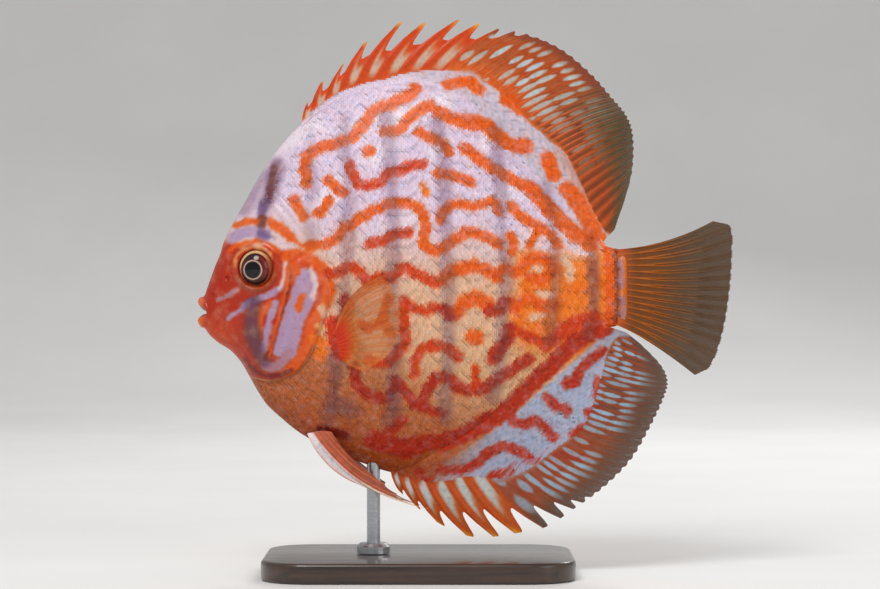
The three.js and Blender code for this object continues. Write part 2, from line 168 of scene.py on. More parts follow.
def inside(u, v, outline):
    """True where a point is inside a closed outline."""
    hit = np.zeros(np.shape(u), bool)
    for (ax, ay), (bx, by) in zip(outline, np.roll(outline, -1, 0)):
        crosses = (ay > v) != (by > v)
        hit ^= crosses & (u < (bx - ax) * (v - ay) / (by - ay + 1e-12) + ax)
    return hit


# Camera: level, square on to the left flank, far enough back to look flat.
camera = bpy.data.objects.new("camera", bpy.data.cameras.new("camera"))
bpy.context.scene.collection.objects.link(camera)
camera.data.lens = LENS
camera.data.sensor_width = SENSOR
camera.data.clip_start = 0.02
camera.data.clip_end = 20
camera.location = place(AIM[0], -DISTANCE, AIM[1])
camera.rotation_euler = (math.pi / 2, 0, 0)
bpy.context.scene.camera = camera
bpy.context.scene.view_settings.view_transform = "Standard"


# Materials
class Wire:
    """A shader socket that Python arithmetic can go on from."""

    def __init__(self, finish, socket):
        self.finish = finish
        self.socket = socket

    def work(self, operation, *values):
        return self.finish.node("ShaderNodeMath", {"operation": operation}, dict(enumerate(values)))

    def __add__(self, other):
        return self.work("ADD", self, other)

    def __radd__(self, other):
        return self.work("ADD", other, self)

    def __sub__(self, other):
        return self.work("SUBTRACT", self, other)

    def __rsub__(self, other):
        return self.work("SUBTRACT", other, self)

    def __mul__(self, other):
        return self.work("MULTIPLY", self, other)

    def __rmul__(self, other):
        return self.work("MULTIPLY", other, self)


class Finish:
    """One material, its shader's constant settings, and the way to add nodes to it."""

    def __init__(self, name, **settings):
        self.material = bpy.data.materials.new(name)
        self.material.use_nodes = True
        self.tree = self.material.node_tree
        self.shader = self.tree.nodes["Principled BSDF"]
        for socket, value in settings.items():
            self.shader.inputs[socket.replace("_", " ")].default_value = value

    def node(self, kind, settings=None, values=None, out=0):
        """Adds a node with its settings, feeds its sockets, and gives back the output asked for."""
        node = self.tree.nodes.new(kind)
        for name, value in (settings or {}).items():
            if name == "stops":
                ramp = node.color_ramp
                while len(ramp.elements) < len(value):
                    ramp.elements.new(0.5)
                for element, (position, colour) in zip(ramp.elements, value):
                    element.position = position
                    element.color = colour
            else:
                setattr(node, name, value)
        for key, value in (values or {}).items():
            self.feed(node.inputs[key], value)
        return Wire(self, node.outputs[out])

    def feed(self, socket, value):
        if isinstance(value, Wire):
            self.tree.links.new(value.socket, socket)
        else:
            socket.default_value = value

    def set(self, socket, value):
        self.feed(self.shader.inputs[socket], value)

    def object_place(self):
        return self.node("ShaderNodeTexCoord", out=3)

    def attribute(self, name, out=0):
        return self.node("ShaderNodeAttribute", {"attribute_name": name}, out=out)

    def noise(self, scale, detail=2.0, at=None, rough=0.5):
        place = at or self.object_place()
        values = {"Vector": place, "Scale": scale, "Detail": detail, "Roughness": rough}
        return self.node("ShaderNodeTexNoise", None, values)

    def stretched(self, *scale):
        """Object coordinates stretched for a grain that runs one way."""
        return self.node("ShaderNodeMapping", None, {"Vector": self.object_place(), "Scale": scale})

    def blend(self, factor, a, b, way="MIX"):
        settings = {"data_type": "RGBA", "blend_type": way}
        return self.node("ShaderNodeMix", settings, {0: factor, 6: a, 7: b}, out=2)

    def span(self, value, low, high, to_low, to_high):
        keys = {"Value": value, "From Min": low, "From Max": high, "To Min": to_low, "To Max": to_high}
        return self.node("ShaderNodeMapRange", None, keys)

    def bump(self, height, distance):
        values = {"Height": height, "Distance": distance, "Strength": 1.0}
        self.set("Normal", self.node("ShaderNodeBump", None, values))

    def ramp(self, factor, *stops):
        """A colour for each position of the factor: pairs of position and palette name."""
        colours = [(position, solid(name)) for position, name in stops]
        return self.node("ShaderNodeValToRGB", {"stops": colours}, {"Fac": factor})


def linear(colour):
    """An 8-bit screen colour as the shader's linear one, by the sRGB curve."""
    c = np.asarray(colour, float) / 255
    return np.where(c <= 0.04045, c / 12.92, ((c + 0.055) / 1.055) ** 2.4)


def solid(name):
    """A palette colour for a shader socket."""
    return (*linear(PALETTE[name]), 1.0)


# Body outline, as in the solids. A ring is numbered by q: below 3 it turns in over the lips, and past 5
# q is u.
END = 128.2
top_u = through(
    (-3, 3.4), (-2, 2.6), (-1, 1.5), (0, 0.2), (1, 0.6), (2, 2.0), (3, 2.8), (4, 3.9), (5, 5), (6, 6),
    (160, 160))
top_v = through(
    (-3, -7.5), (-2, -7.2), (-1, -6.6), (0, -4.8), (1, -3.2), (2, -2.7), (3, -0.6), (4, 2.5),
    (5.4, 6.6), (6.7, 9.6), (7.8, 13.2), (9.5, 17.2), (14.5, 25.9), (19.2, 34.3), (24.6, 41.9),
    (31.5, 49.2), (41.6, 56.5), (53.5, 60.6), (66, 61.4), (76, 58.2), (85, 50.6), (92, 42.8),
    (97, 36.8), (102, 31.6), (108, 26), (116, 17), (120.5, 13.2), (123.3, 11.9), (126.1, 11.4))
bottom_u = through(
    (-3, 3.4), (-2, 2.6), (-1, 1.5), (0, 0.1), (1, 0.8), (2, 2.2), (3, 3.1), (4, 4), (5, 5), (6, 6),
    (160, 160))
bottom_v = through(
    (-3, -7.7), (-2, -8.0), (-1, -8.3), (0, -9.8), (1, -11.7), (2, -12.4), (3, -13.7), (4.5, -15.2),
    (6.5, -16.8), (9.9, -19), (13, -22.4), (14.9, -25.6), (16.8, -29.2), (19.1, -33), (21, -35.6),
    (25.2, -39.4), (29.4, -42.9), (34, -45.8), (39.5, -49), (50.2, -53), (57.4, -55.3), (63, -55.2),
    (70, -52.8), (78.3, -48.4), (87.2, -42.4), (94.7, -36.4), (102.1, -30), (108.1, -24.8),
    (114.1, -19.4), (120.5, -13.6), (123.3, -12.1), (126.1, -11.6))
side_u = through(
    (-3, 3.4), (-2, 3.6), (-1, 3.6), (0, 3.0), (1, 3.2), (2, 3.9), (3, 4.2), (4, 4.6), (5, 5.2),
    (6, 6), (160, 160))
side_v = through(
    (-3, -7.6), (2, -7.5), (6, -5), (12, -2), (20, -0.5), (40, 1), (70, 2), (100, 1), (126, 0))
half_width = through(
    (-3, 0), (-2, 2.2), (-1, 3.0), (0, 3.4), (1, 4.2), (2, 4.3), (3, 4.6), (5, 5.6), (8, 7.2),
    (12, 8.8), (17, 10.1), (25, 11.6), (35, 12.7), (46, 13.2), (60, 12.6), (75, 11.1), (90, 8.9),
    (105, 6.5), (116, 4.7), (126, 3.4), (127.4, 2.6), (END, 1.0))
keel = through((-3, 1), (3, 1), (10, 1.25), (25, 1.4), (60, 1.45), (105, 1.4), (118, 1.15), (126, 0.9))

GILL_EDGE = spline([
    (27, 60), (29.5, 44), (33, 28), (34.8, 15), (36.6, 6.5), (38.9, -0.6), (38.4, -6), (36.6, -11),
    (34.2, -18), (30.4, -24), (25.5, -26.9), (20.6, -27.6), (14.9, -26.2), (8, -24)])
HEAD_OUTLINE = np.vstack([[(-6, 60)], GILL_EDGE, [(-6, -24)]])
GILL_LIFT = 0.9
GILL_CORNER = 9.0  # the height where the gill cover's edge meets the head
COAT = 0.2  # how far the skin lies under the tops of the scales
# Broad forms of the face: middle, radius and height.
FACE_SWELLS = [((17.4, 5), 7.5, 0.7), ((9.5, -3), 4.5, -0.5), ((18, -12), 8, 0.7)]
ORBIT = (17.4, 5.6)  # the middle of the eye socket, as seen square on
ORBIT_DEPTH = 2.2
NOSTRIL = (8.9, 2.6)

# Folds and ridges of the head: half width, height, and the line's points.
FACE_LINES = [(spline(line), width, height) for width, height, *line in [
    (0.5, -0.5, (31.5, 9.6), (28.4, 7.6), (26.6, 4), (25.6, -1), (24.2, -8.3), (22.7, -16), (21.4, -20),
     (19.6, -23)),
    (0.8, 0.22, (30, 6.6), (28.6, 2), (27.4, -4), (25.8, -10), (24.2, -17)),
    (0.45, -0.4, (3.2, -1.2), (5.2, -2.6), (6.4, -5), (6.9, -8), (6.2, -11), (4.6, -13.6)),
    (0.6, -0.26, (9, -3.6), (12.5, -5.2), (15.6, -4.4), (19.5, -3.2), (24, -1.2), (25.4, 3), (25.2, 8)),
    (0.5, -0.24, (6.4, -11), (9.5, -14.5), (13, -18), (16.5, -22.5)),
    (0.35, -0.2, (23.4, 26), (27, 21.6), (30.6, 17), (33.6, 13.6)),
    (0.35, -0.22, (25.4, 27), (28.8, 22.4), (32.4, 17.6), (35.4, 14)),
    (0.35, -0.18, (22.4, 22.4), (25.6, 18.8), (29, 15), (32, 12.4)),
    (0.35, -0.18, (27.4, 27.6), (30.6, 23), (34.2, 18.6), (37, 15.4)),
    (0.4, 0.22, (24.6, 26.6), (28, 21.8), (31.6, 17.2), (34.6, 13.6)),
    (0.4, 0.2, (22.9, 24.2), (26.4, 20), (29.8, 16), (33, 13)),
    (0.5, -0.2, (10.5, 14), (14, 14.6), (18.6, 14.4), (23, 12.2)),
]]


def dent(u, v, at, radius, amount):
    """A round swelling, or a hollow where the amount is below 0."""
    return amount * np.exp(-((u - at[0]) ** 2 + (v - at[1]) ** 2) / radius ** 2)


def face_shape(u, v):
    """The broad swellings and hollows of the face, as in the solids."""
    return sum(dent(u, v, middle, radius, height) for middle, radius, height in FACE_SWELLS)


def gill_lift(u, v, near, in_front):
    """The gill cover stands off the body toward its edge, with a groove behind it."""
    below_corner = 1 - smooth(GILL_CORNER - 9, GILL_CORNER, v)
    lift = GILL_LIFT * (1 - smooth(0, 11, near)) * below_corner * smooth(13, 20, u)
    behind = lift * (1 - smooth(0.05, 0.5, near)) - 0.3 * bell(near, 0.7, 0.5) * (lift > 0.2)
    return np.where(in_front, lift, behind)


def scaled(u, v):
    """1 where the body carries scales, 0 on the bare face and in front of the nape's line."""
    near = line_distance(u, v, GILL_EDGE[::4])
    nape = smooth(23, 28, v) * smooth(0, 2.5, u - 19.5 - 0.6 * (v - 28))
    return np.where(inside(u, v, HEAD_OUTLINE), nape, np.maximum(nape, smooth(0.3, 2.5, near)))


def face_relief(u, v):
    """Fine forms of the head that only the skin carries."""
    eye = np.hypot(u - ORBIT[0], (v - ORBIT[1]) / 1.06)
    relief = 0.6 * bell(eye, 6.0, 0.6) - 0.26 * bell(eye, 7.5, 0.6)
    relief = relief - ORBIT_DEPTH * (1 - smooth(4.9, 5.4, eye))
    nostril = np.hypot(u - NOSTRIL[0], v - NOSTRIL[1])
    relief = relief - 0.6 * (1 - smooth(0.35, 0.8, nostril)) + 0.2 * bell(nostril, 1.05, 0.3)
    for line, width, height in FACE_LINES:
        relief = relief + height * bell(line_distance(u, v, line), 0, width)
    return relief


def skin_point(q, side, s, sink=0.0, fine=True):
    """Points of the body's surface: side is the flank, s runs from -1 at the belly to 1 at the back.

    sink lowers the surface, and fine adds the gill cover and the folds that only the skin carries.
    """
    c = np.sqrt(np.maximum(0, 1 - s * s))
    edge = np.where(s > 0, top_v(q), bottom_v(q))
    mid = side_v(q)
    u = mix(side_u(q), np.where(s > 0, top_u(q), bottom_u(q)), s * s)
    v = mid + (edge - np.sign(s) * sink - mid) * np.abs(s)
    flank = half_width(q) * c ** keel(q)
    extra = face_shape(u, v) * (q > 3)
    if fine:
        flat_u, flat_v = seen(u, flank, v)
        near = line_distance(flat_u, flat_v, GILL_EDGE[::2])
        in_front = inside(flat_u, flat_v, HEAD_OUTLINE)
        extra = extra + gill_lift(flat_u, flat_v, near, in_front) + face_relief(flat_u, flat_v)
        extra = extra * smooth(2.5, 3.2, q)
    width = np.where(c > 1e-6, np.maximum(flank + (extra - sink) * c ** 0.5, 0), 0)
    return u, side * width, v


# The scaly flesh runs out over the roots of the upright fins, for these widths square to the body's edge.
sheath_top = through((56, 1), (66, 3), (74, 5), (88, 8), (100, 10), (108, 10.5), (116, 6.5), (121, 3))
sheath_bottom = through(
    (62, 1), (68, 4), (80, 8), (88, 12), (94, 15), (106, 16.5), (114, 16.4), (117.5, 14), (119.5, 11),
    (121.5, 7.5), (123.5, 4.5), (125.5, 2.5))
EDGE_STEP = 0.5  # the slope of the body's edge is taken over this length
SHEATH_ROOT = 0.9
SHEATH_SWELL = 0.26
SHEATH_MOST = 2.2
SHEATH_EDGE = 0.05


def beyond_edge(u, v):
    """How far a point lies outside the body's edge, square to it, and the scaly sheath's width there."""
    along = np.clip(u, 6, 125.9)
    above = v > 0
    edge = np.where(above, top_v(along), bottom_v(along))
    ahead = np.where(above, top_v(along + EDGE_STEP), bottom_v(along + EDGE_STEP))
    slope = (ahead - edge) / EDGE_STEP
    out = np.where(above, v - edge, edge - v) / np.sqrt(1 + slope * slope)
    return out, np.where(above, sheath_top(along), sheath_bottom(along))


def sheath_flesh(u, v):
    """Half the thickness of the flesh that carries the sheath's scales."""
    out, sheath = beyond_edge(u, v)
    thickest = np.minimum(SHEATH_MOST, SHEATH_ROOT + SHEATH_SWELL * sheath)
    return SHEATH_EDGE + thickest * (1 - smooth(-2.5, sheath + 1.5, out)) ** 1.3


# Colours as seen on the fish, red, green and blue out of 255.
PALETTE = {
    "lilac": (214, 193, 214), "white": (238, 226, 232), "blue": (156, 168, 198), "pink": (222, 178, 150),
    "beige": (212, 164, 122), "orange": (222, 84, 4), "amber": (236, 110, 12), "red": (202, 54, 2),
    "deep": (174, 36, 4), "maroon": (116, 22, 8), "rust": (158, 62, 18), "brown": (124, 54, 26),
    "violet": (124, 104, 152), "mauve": (170, 122, 138), "face": (174, 38, 4), "gold": (224, 156, 92),
    "olive": (112, 100, 60), "opercle": (172, 144, 180), "lip": (234, 118, 54),
    "scarlet": (206, 42, 6), "clay": (172, 74, 26), "haze": (190, 176, 188), "pearl": (220, 194, 198),
    "dusk": (92, 58, 84), "skin fleck": (110, 30, 16), "skin bloom": (250, 200, 160),
    # mouth is painted shade: the dark inside the mouth's gap.
    "mouth": (70, 16, 12), "scale sheen": (248, 226, 224), "membrane mottle": (96, 40, 20),
    "dorsal shade": (176, 68, 16), "dorsal fleck": (186, 208, 214), "dorsal ray": (204, 96, 30),
    "dorsal margin": (132, 56, 26), "dorsal line": (104, 48, 18), "dorsal spine": (208, 64, 8),
    "dorsal gap": (200, 190, 176), "dorsal root": (212, 84, 18), "dorsal tip": (230, 160, 80),
    "dorsal rear": (70, 70, 42),
    "anal shade": (142, 46, 16), "anal fleck": (150, 186, 210), "anal ray": (164, 78, 36),
    "anal margin": (92, 60, 48), "anal line": (92, 44, 32), "anal spine": (200, 78, 12),
    "anal gap": (190, 216, 224), "anal root": (150, 38, 10), "anal tip": (220, 150, 30),
    "anal rear": (92, 74, 62),
    "tail web": (88, 66, 44), "tail inner web": (118, 64, 18), "tail root": (190, 78, 12),
    "tail ray": (196, 104, 26), "tail ray tip": (118, 88, 62),
    "pectoral web": (226, 138, 62), "pectoral root": (200, 40, 6), "pectoral ray": (216, 98, 24),
    "pectoral front": (208, 104, 40),
    "pelvic web": (196, 96, 68), "pelvic ray": (214, 130, 84), "pelvic spine": (244, 234, 238),
    "pelvic thread": (246, 216, 192),
    "iris": (54, 22, 18), "iris red": (134, 26, 18), "iris warm": (118, 62, 44),
    "iris edge": (26, 12, 14), "iris ring": (228, 190, 176), "iris streak": (120, 60, 40),
    "eye rim": (176, 96, 60), "eye rim lit": (226, 186, 136), "pupil": (5, 5, 12),
    "wood dark": (34, 24, 20), "wood light": (70, 48, 36), "steel dark": (164, 166, 170),
    "steel light": (186, 188, 192), "paper dark": (233, 232, 230), "paper light": (238, 237, 235),
}

# Patches of the side view, painted in each table's order: colour, half width in px, its line in px.
BODY_MARKS = [
    ("pearl", 5, (577, 249), (588, 251)),
    ("pearl", 5, (521, 234), (530, 238), (540, 248)),
    ("pink", 4.5, (562, 258), (567, 267), (568, 277)),
    ("pink", 5, (533, 270), (540, 272)),
    ("pink", 4, (538, 294), (548, 296)),
    ("pink", 4, (531, 318), (540, 314)),
    ("pink", 4, (572, 346), (560, 358), (548, 372)),
    ("orange", 5.6, (305, 183), (303, 168), (306, 155), (320, 147), (340, 141), (353, 134), (363, 123),
     (371, 111), (386, 104), (402, 98), (414, 90)),
    ("orange", 5.4, (365, 151), (369, 151)),
    ("red", 5.4, (347, 165), (355, 182), (364, 185), (379, 181), (388, 172), (398, 172), (406, 165),
     (421, 164)),
    ("orange", 5.4, (382, 131), (396, 130), (404, 122), (413, 112), (429, 104)),
    ("orange", 5.2, (417, 131), (427, 137), (440, 142), (447, 152)),
    ("orange", 6.8, (437, 112), (450, 118), (465, 122), (480, 124), (490, 131), (500, 140),
     (511, 147)),
    ("orange", 7.5, (518, 147), (525, 147)),
    ("orange", 5.4, (327, 180), (334, 188), (342, 193)),
    ("orange", 4.8, (317, 214), (323, 205), (327, 200)),
    ("orange", 5, (435, 173), (443, 174), (456, 177), (469, 182)),
    ("orange", 5.4, (309, 246), (327, 242), (342, 230), (360, 217), (380, 206), (394, 203), (414, 206),
     (422, 216), (423, 230), (421, 243), (432, 251), (445, 245), (456, 236), (466, 232), (478, 234),
     (490, 240), (498, 244)),
    ("orange", 4.8, (439, 221), (440, 212), (448, 206), (456, 203), (470, 206), (482, 204), (490, 200),
     (497, 211)),
    ("red", 5.4, (367, 244), (383, 240), (392, 234), (406, 232)),
    ("amber", 3.6, (421, 185), (424, 193)),
    ("orange", 5, (292, 199), (298, 208), (304, 217)),
    ("red", 5.6, (328, 273), (340, 271), (346, 266), (352, 268), (360, 275), (366, 281), (376, 278),
     (388, 277), (395, 274), (402, 268), (412, 272), (421, 276), (432, 282), (442, 278)),
    ("orange", 6.6, (442, 278), (450, 271), (462, 268), (474, 266), (484, 270), (495, 276)),
    ("orange", 6, (495, 275), (503, 269), (514, 272), (524, 262), (536, 257), (547, 262), (549, 271),
     (540, 279), (528, 277)),
    ("orange", 5.6, (462, 148), (470, 153), (480, 161), (500, 173), (514, 181), (527, 187)),
    ("orange", 7.4, (530, 190), (540, 201), (555, 217), (572, 233), (590, 245)),
    ("orange", 5, (508, 205), (516, 213), (525, 220), (540, 228), (550, 236), (557, 246)),
    ("orange", 5, (508, 235), (511, 244), (510, 251)),
    ("orange", 3.6, (527, 244), (533, 238), (536, 230)),
    ("deep", 5.6, (343, 298), (346, 305), (344, 313)),
    ("red", 4.6, (386, 297), (384, 307), (381, 317), (384, 326), (390, 334)),
    ("red", 4.4, (358, 324), (367, 328), (378, 321)),
    ("red", 5.2, (403, 302), (401, 313), (402, 327), (404, 340), (399, 350), (388, 360), (377, 363),
     (367, 360)),
    ("red", 5, (403, 303), (412, 307), (422, 311), (431, 308), (441, 309)),
    ("deep", 6, (441, 309), (450, 316), (457, 309)),
    ("orange", 7.4, (457, 308), (465, 301), (474, 298), (482, 302), (489, 310)),
    ("deep", 6.4, (488, 311), (496, 309), (504, 302), (511, 306)),
    ("orange", 6, (512, 307), (526, 300), (540, 306), (552, 304)),
    ("red", 4.6, (412, 374), (414, 360), (418, 350), (428, 346)),
    ("red", 5.6, (428, 346), (440, 346), (449, 350), (456, 357)),
    ("deep", 5.4, (394, 381), (401, 389), (408, 398), (415, 405), (422, 399), (426, 388), (431, 380)),
    ("deep", 6, (431, 380), (440, 377), (449, 380), (457, 388), (470, 390), (484, 387), (498, 378),
     (511, 369), (527, 359)),
    ("red", 4, (473, 368), (474, 380), (471, 390)),
    ("deep", 5.4, (353, 366), (354, 381), (360, 391), (372, 397), (384, 398), (391, 388)),
    ("deep", 4.4, (415, 406), (428, 411), (440, 413)),
    ("orange", 7.6, (470, 337), (475, 338)),
    ("deep", 6.6, (508, 329), (505, 339), (498, 348), (491, 359)),
    ("red", 7, (545, 346), (560, 331), (575, 322), (592, 317)),
    ("red", 5, (517, 332), (530, 338), (541, 343)),
    ("deep", 8, (607, 326), (594, 331), (578, 339), (566, 349), (552, 363), (538, 376), (524, 390),
     (511, 402), (500, 413), (485, 421), (466, 432), (448, 440), (420, 444), (402, 450)),
    ("deep", 5.6, (400, 421), (388, 431)),
    ("maroon", 4, (318, 430), (332, 432), (345, 437)),
    ("deep", 9, (372, 440), (392, 446), (412, 448)),
    ("orange", 5.5, (607, 250), (608, 270), (609, 300), (607, 322)),
    ("mauve", 4, (619, 262), (620, 284)),
    ("mauve", 4, (622, 300), (622, 316)),
    ("brown", 2.2, (614, 250), (615, 285), (615, 322)),
]
FACE_PATCHES = [
    ("brown", 3.2, (275, 168), (271, 184), (267, 198)),
    ("violet", 4.6, (265, 203), (262, 212)),
    ("brown", 4.6, (262, 218), (261, 226)),
    ("orange", 3.6, (237, 225), (247, 222), (256, 222)),
    ("orange", 5, (272, 223), (281, 228), (290, 237)),
    ("orange", 1.6, (289, 237), (298, 243), (307, 249)),
    ("opercle", 5.4, (233, 238), (242, 233), (254, 231), (266, 235)),
    ("violet", 3.4, (260, 232), (267, 236), (273, 241)),
    ("pearl", 3.2, (270, 242), (277, 243), (284, 247)),
    ("orange", 2.2, (227, 252), (236, 246), (250, 242), (264, 243), (275, 249), (283, 258)),
    # A thin gold arc over the top of the eye socket's rim: painted highlight.
    ("gold", 1.5, (235, 266), (237, 256), (245, 249), (255, 247), (265, 250), (272, 258)),
    ("rust", 2.4, (238, 279), (243, 286), (252, 290), (262, 289), (270, 282), (275, 270)),
    ("mauve", 2.4, (219, 299), (227, 296), (237, 290)),
    ("opercle", 2.4, (228, 318), (236, 313), (243, 307)),
    ("violet", 3.2, (243, 307), (252, 301), (262, 297)),
    ("opercle", 3.2, (262, 297), (272, 293), (281, 288)),
    ("pearl", 1.8, (279, 289), (284, 278), (285, 268), (286, 255)),
    ("orange", 3, (270, 303), (262, 312), (260, 326)),
    ("opercle", 3.6, (276, 303), (270, 318), (267, 332), (264, 350)),
    ("orange", 2.6, (289, 268), (288, 286), (284, 302), (279, 320), (274, 338), (270, 356)),
    # A thin maroon line along the cheek's groove: painted shade in the crease.
    ("maroon", 0.7, (291, 262), (290, 284), (286, 302), (281, 320), (276, 338), (272, 356)),
    ("orange", 5, (286, 256), (300, 254), (313, 260), (323, 270), (329, 286), (327, 300), (317, 316),
     (310, 330), (307, 346), (298, 362), (288, 371)),
    ("opercle", 9, (307, 277), (309, 287), (304, 302), (297, 317), (292, 334), (288, 350)),
    ("opercle", 5, (303, 274), (298, 288), (293, 304), (287, 320), (282, 336), (278, 352)),
    ("mauve", 5, (290, 353), (283, 362), (275, 367), (266, 367)),
    ("pearl", 2.4, (311, 270), (316, 284), (313, 297)),
    ("orange", 3.4, (302, 297), (300, 302), (298, 308)),
    ("orange", 4, (293, 263), (296, 271)),
    # A maroon line under the gill cover: painted shadow cast by the cover.
    ("maroon", 2, (245, 360), (253, 369), (266, 375), (279, 375), (291, 370)),
    ("pink", 3.4, (321, 308), (324, 316)),
    # A small gold spot on the gill cover's rear membrane: painted highlight.
    ("gold", 3.2, (318, 326), (322, 329)),
    ("amber", 5, (314, 338), (322, 346), (318, 356)),
    ("scarlet", 7, (331, 322), (334, 338), (336, 354)),
]
FIN_MARKS = [
    ("orange", 7.5, (546, 159), (549, 168), (552, 176)),
    ("orange", 8.5, (566, 190), (577, 204), (587, 222), (597, 238)),
    ("orange", 6, (446, 86), (456, 84), (467, 83), (478, 90)),
    ("orange", 7, (505, 99), (516, 106), (530, 114)),
    ("deep", 5.2, (601, 350), (590, 358), (579, 369), (574, 379)),
    ("deep", 6.4, (573, 380), (566, 382)),
    ("deep", 5, (546, 397), (556, 405), (566, 409)),
    ("deep", 5, (510, 419), (523, 423), (534, 419), (543, 426), (552, 436)),
    ("deep", 4.2, (597, 378), (596, 392)),
    ("deep", 5, (588, 411), (600, 409)),
    ("deep", 5, (440, 469), (455, 470), (471, 465), (483, 455), (498, 446), (516, 449), (532, 459)),
    ("deep", 4.2, (486, 480), (494, 474), (509, 471)),
    ("deep", 4.6, (548, 466), (562, 455), (580, 458)),
    ("deep", 4, (571, 433), (581, 426)),
    ("deep", 4.6, (418, 471), (426, 482), (435, 492)),
]

# Dusky upright bars, laid over the patches: half width in px, strength, its line in px.
BARS = [
    # The first two bars darken the forehead: the dusky bar through the eye, laid stronger as painted
    # shade along the head's upper edge.
    (7, 0.34, (264, 176), (254, 194), (244, 210)),
    (6, 0.6, (277, 164), (271, 182), (265, 201)),
    (4.6, 0.35, (264, 205), (261, 222), (262, 236)),
    (6.5, 0.8, (254, 303), (252, 318), (253, 336), (257, 351), (264, 362)),
    (5, 0.3, (329, 360), (331, 388)),
    (9, 0.4, (338, 404), (350, 411)),
    (6, 0.25, (390, 400), (394, 412)),
    (4.5, 0.4, (590, 262), (591, 276)),
    (4.5, 0.4, (590, 292), (592, 308)),
    (5, 0.22, (307, 130), (308, 175), (309, 220), (312, 240)),
    (6, 0.3, (344, 120), (344, 180), (344, 240), (342, 300), (334, 370), (326, 420)),
    (6.5, 0.34, (384, 115), (388, 180), (391, 240), (391, 300), (391, 360), (388, 420)),
    (6.5, 0.36, (436, 120), (442, 190), (444, 250), (446, 300), (446, 360), (442, 420)),
    (6, 0.36, (492, 130), (499, 190), (501, 240), (502, 300), (498, 360), (490, 400)),
    (5.5, 0.36, (545, 190), (551, 235), (552, 285), (548, 340)),
    (5, 0.3, (588, 238), (591, 270), (592, 310), (586, 335)),
]

# The canvas that the markings are worked out on: its cell, its low corner and its count of cells.
CELL = 0.25
CANVAS_LOW = np.array([-3.0, -80.0])
CANVAS_SIZE = (668, 668)


def ripple(u, v, size, seed):
    """A smooth uneven field between about -1 and 1, the same on every run."""
    dice = np.random.default_rng(seed)
    total = 0
    for _ in range(9):
        angle = dice.uniform(0, 2 * math.pi)
        length = size * dice.uniform(0.6, 1.6)
        phase = dice.uniform(0, 2 * math.pi)
        total = total + np.sin((u * math.cos(angle) + v * math.sin(angle)) * 2 * math.pi / length + phase)
    return total / 4.2


def lay(canvas, colour, mask):
    """Blends a colour, or the palette's of that name, over the canvas by a mask of 0 to 1."""
    if isinstance(colour, str):
        colour = PALETTE[colour]
    canvas += (np.asarray(colour, float) - canvas) * mask[..., None]


def ground(canvas, u, v):
    """The body's colours before any mark: lilac back, beige flank, clay breast, amber tail stalk."""
    wobble = ripple(u, v, 14, 3)
    canvas[:] = PALETTE["beige"]
    lay(canvas, "pink", 0.6 * smooth(-30, -4, v + 2 * wobble))
    lay(canvas, "lilac", smooth(-4, 26, v + 3 * wobble + 0.05 * (u - 60)))
    # Pale blotches over the upper flank: partly the fish's pale colour, partly painted highlight where
    # the light falls on the upper body.
    lay(canvas, "white", 0.65 * smooth(0.1, 0.9, ripple(u, v, 12, 9)) * smooth(4, 30, v))
    lay(canvas, "clay", 0.75 * smooth(8, 36, -v + 0.45 * (48 - u) + 4 * wobble))
    lay(canvas, "rust", 0.7 * smooth(38, 54, -v + 0.3 * (56 - u) + 2 * wobble))
    stalk = smooth(89, 97, u + 2 * wobble) * smooth(13, 7, v + 1.5 * wobble)
    stalk = stalk * smooth(-24, -12, v + 0.2 * (u - 95))
    lay(canvas, "amber", 0.86 * stalk)
    lay(canvas, "orange", 0.3 * stalk * smooth(-0.2, 0.8, ripple(u, v, 7, 13)))


face_top = through((6, 15), (12, 12.4), (18, 12.2), (23, 12), (28, 10.6), (33, 9.6), (39, 7))


def face_ground(canvas, u, v):
    """The orange face in front of the gill cover's edge, paler on the lips and darker under the cheek."""
    face = smooth(1.4, -1.4, v - face_top(u) + 0.5 * ripple(u, v, 6, 3)) * inside(u, v, HEAD_OUTLINE)
    lay(canvas, "face", face)
    lay(canvas, "orange", 0.55 * face * smooth(-6, -14, v) * smooth(16, 6, u))
    nose = np.exp(-((u - 9.5) ** 2 + (v - 4.5) ** 2) / 18)
    lay(canvas, "deep", 0.3 * face * nose)
    lay(canvas, "orange", 0.5 * face * smooth(22, 28, u))
    lay(canvas, "rust", 0.5 * face * smooth(-18, -26, v) * smooth(8, 18, u))
    lay(canvas, "lip", 0.8 * smooth(2.8, 0.4, u) * smooth(-1, -4, v) * smooth(-15, -11, v))


def fin_ground(canvas, u, v):
    """Tones outside the body's edge: the pale scaly sheath, then the orange and rust of the webs."""
    wobble = ripple(u, v, 14, 3)
    out, sheath = beyond_edge(u, v)
    web = smooth(-0.6, 1.2, out - sheath + 0.6 * wobble)
    back = smooth(-0.5, 1, out) * (v > 0) * (u < 134)
    lay(canvas, "haze", 0.8 * back)
    lay(canvas, "orange", 0.9 * back * web)
    lay(canvas, "rust", 0.75 * back * smooth(sheath + 2, sheath + 9, out + wobble))
    lay(canvas, "clay", 0.5 * back * smooth(112, 122, u + 0.2 * v + wobble) * smooth(2, 8, out))
    belly = smooth(-0.5, 1, out) * (v < 0) * (u < 146)
    lay(canvas, "blue", 0.9 * belly * smooth(62, 96, u + 2 * out))
    lay(canvas, "clay", 0.85 * belly * web)
    lay(canvas, "olive", 0.5 * belly * smooth(sheath + 5, sheath + 12, out + wobble))


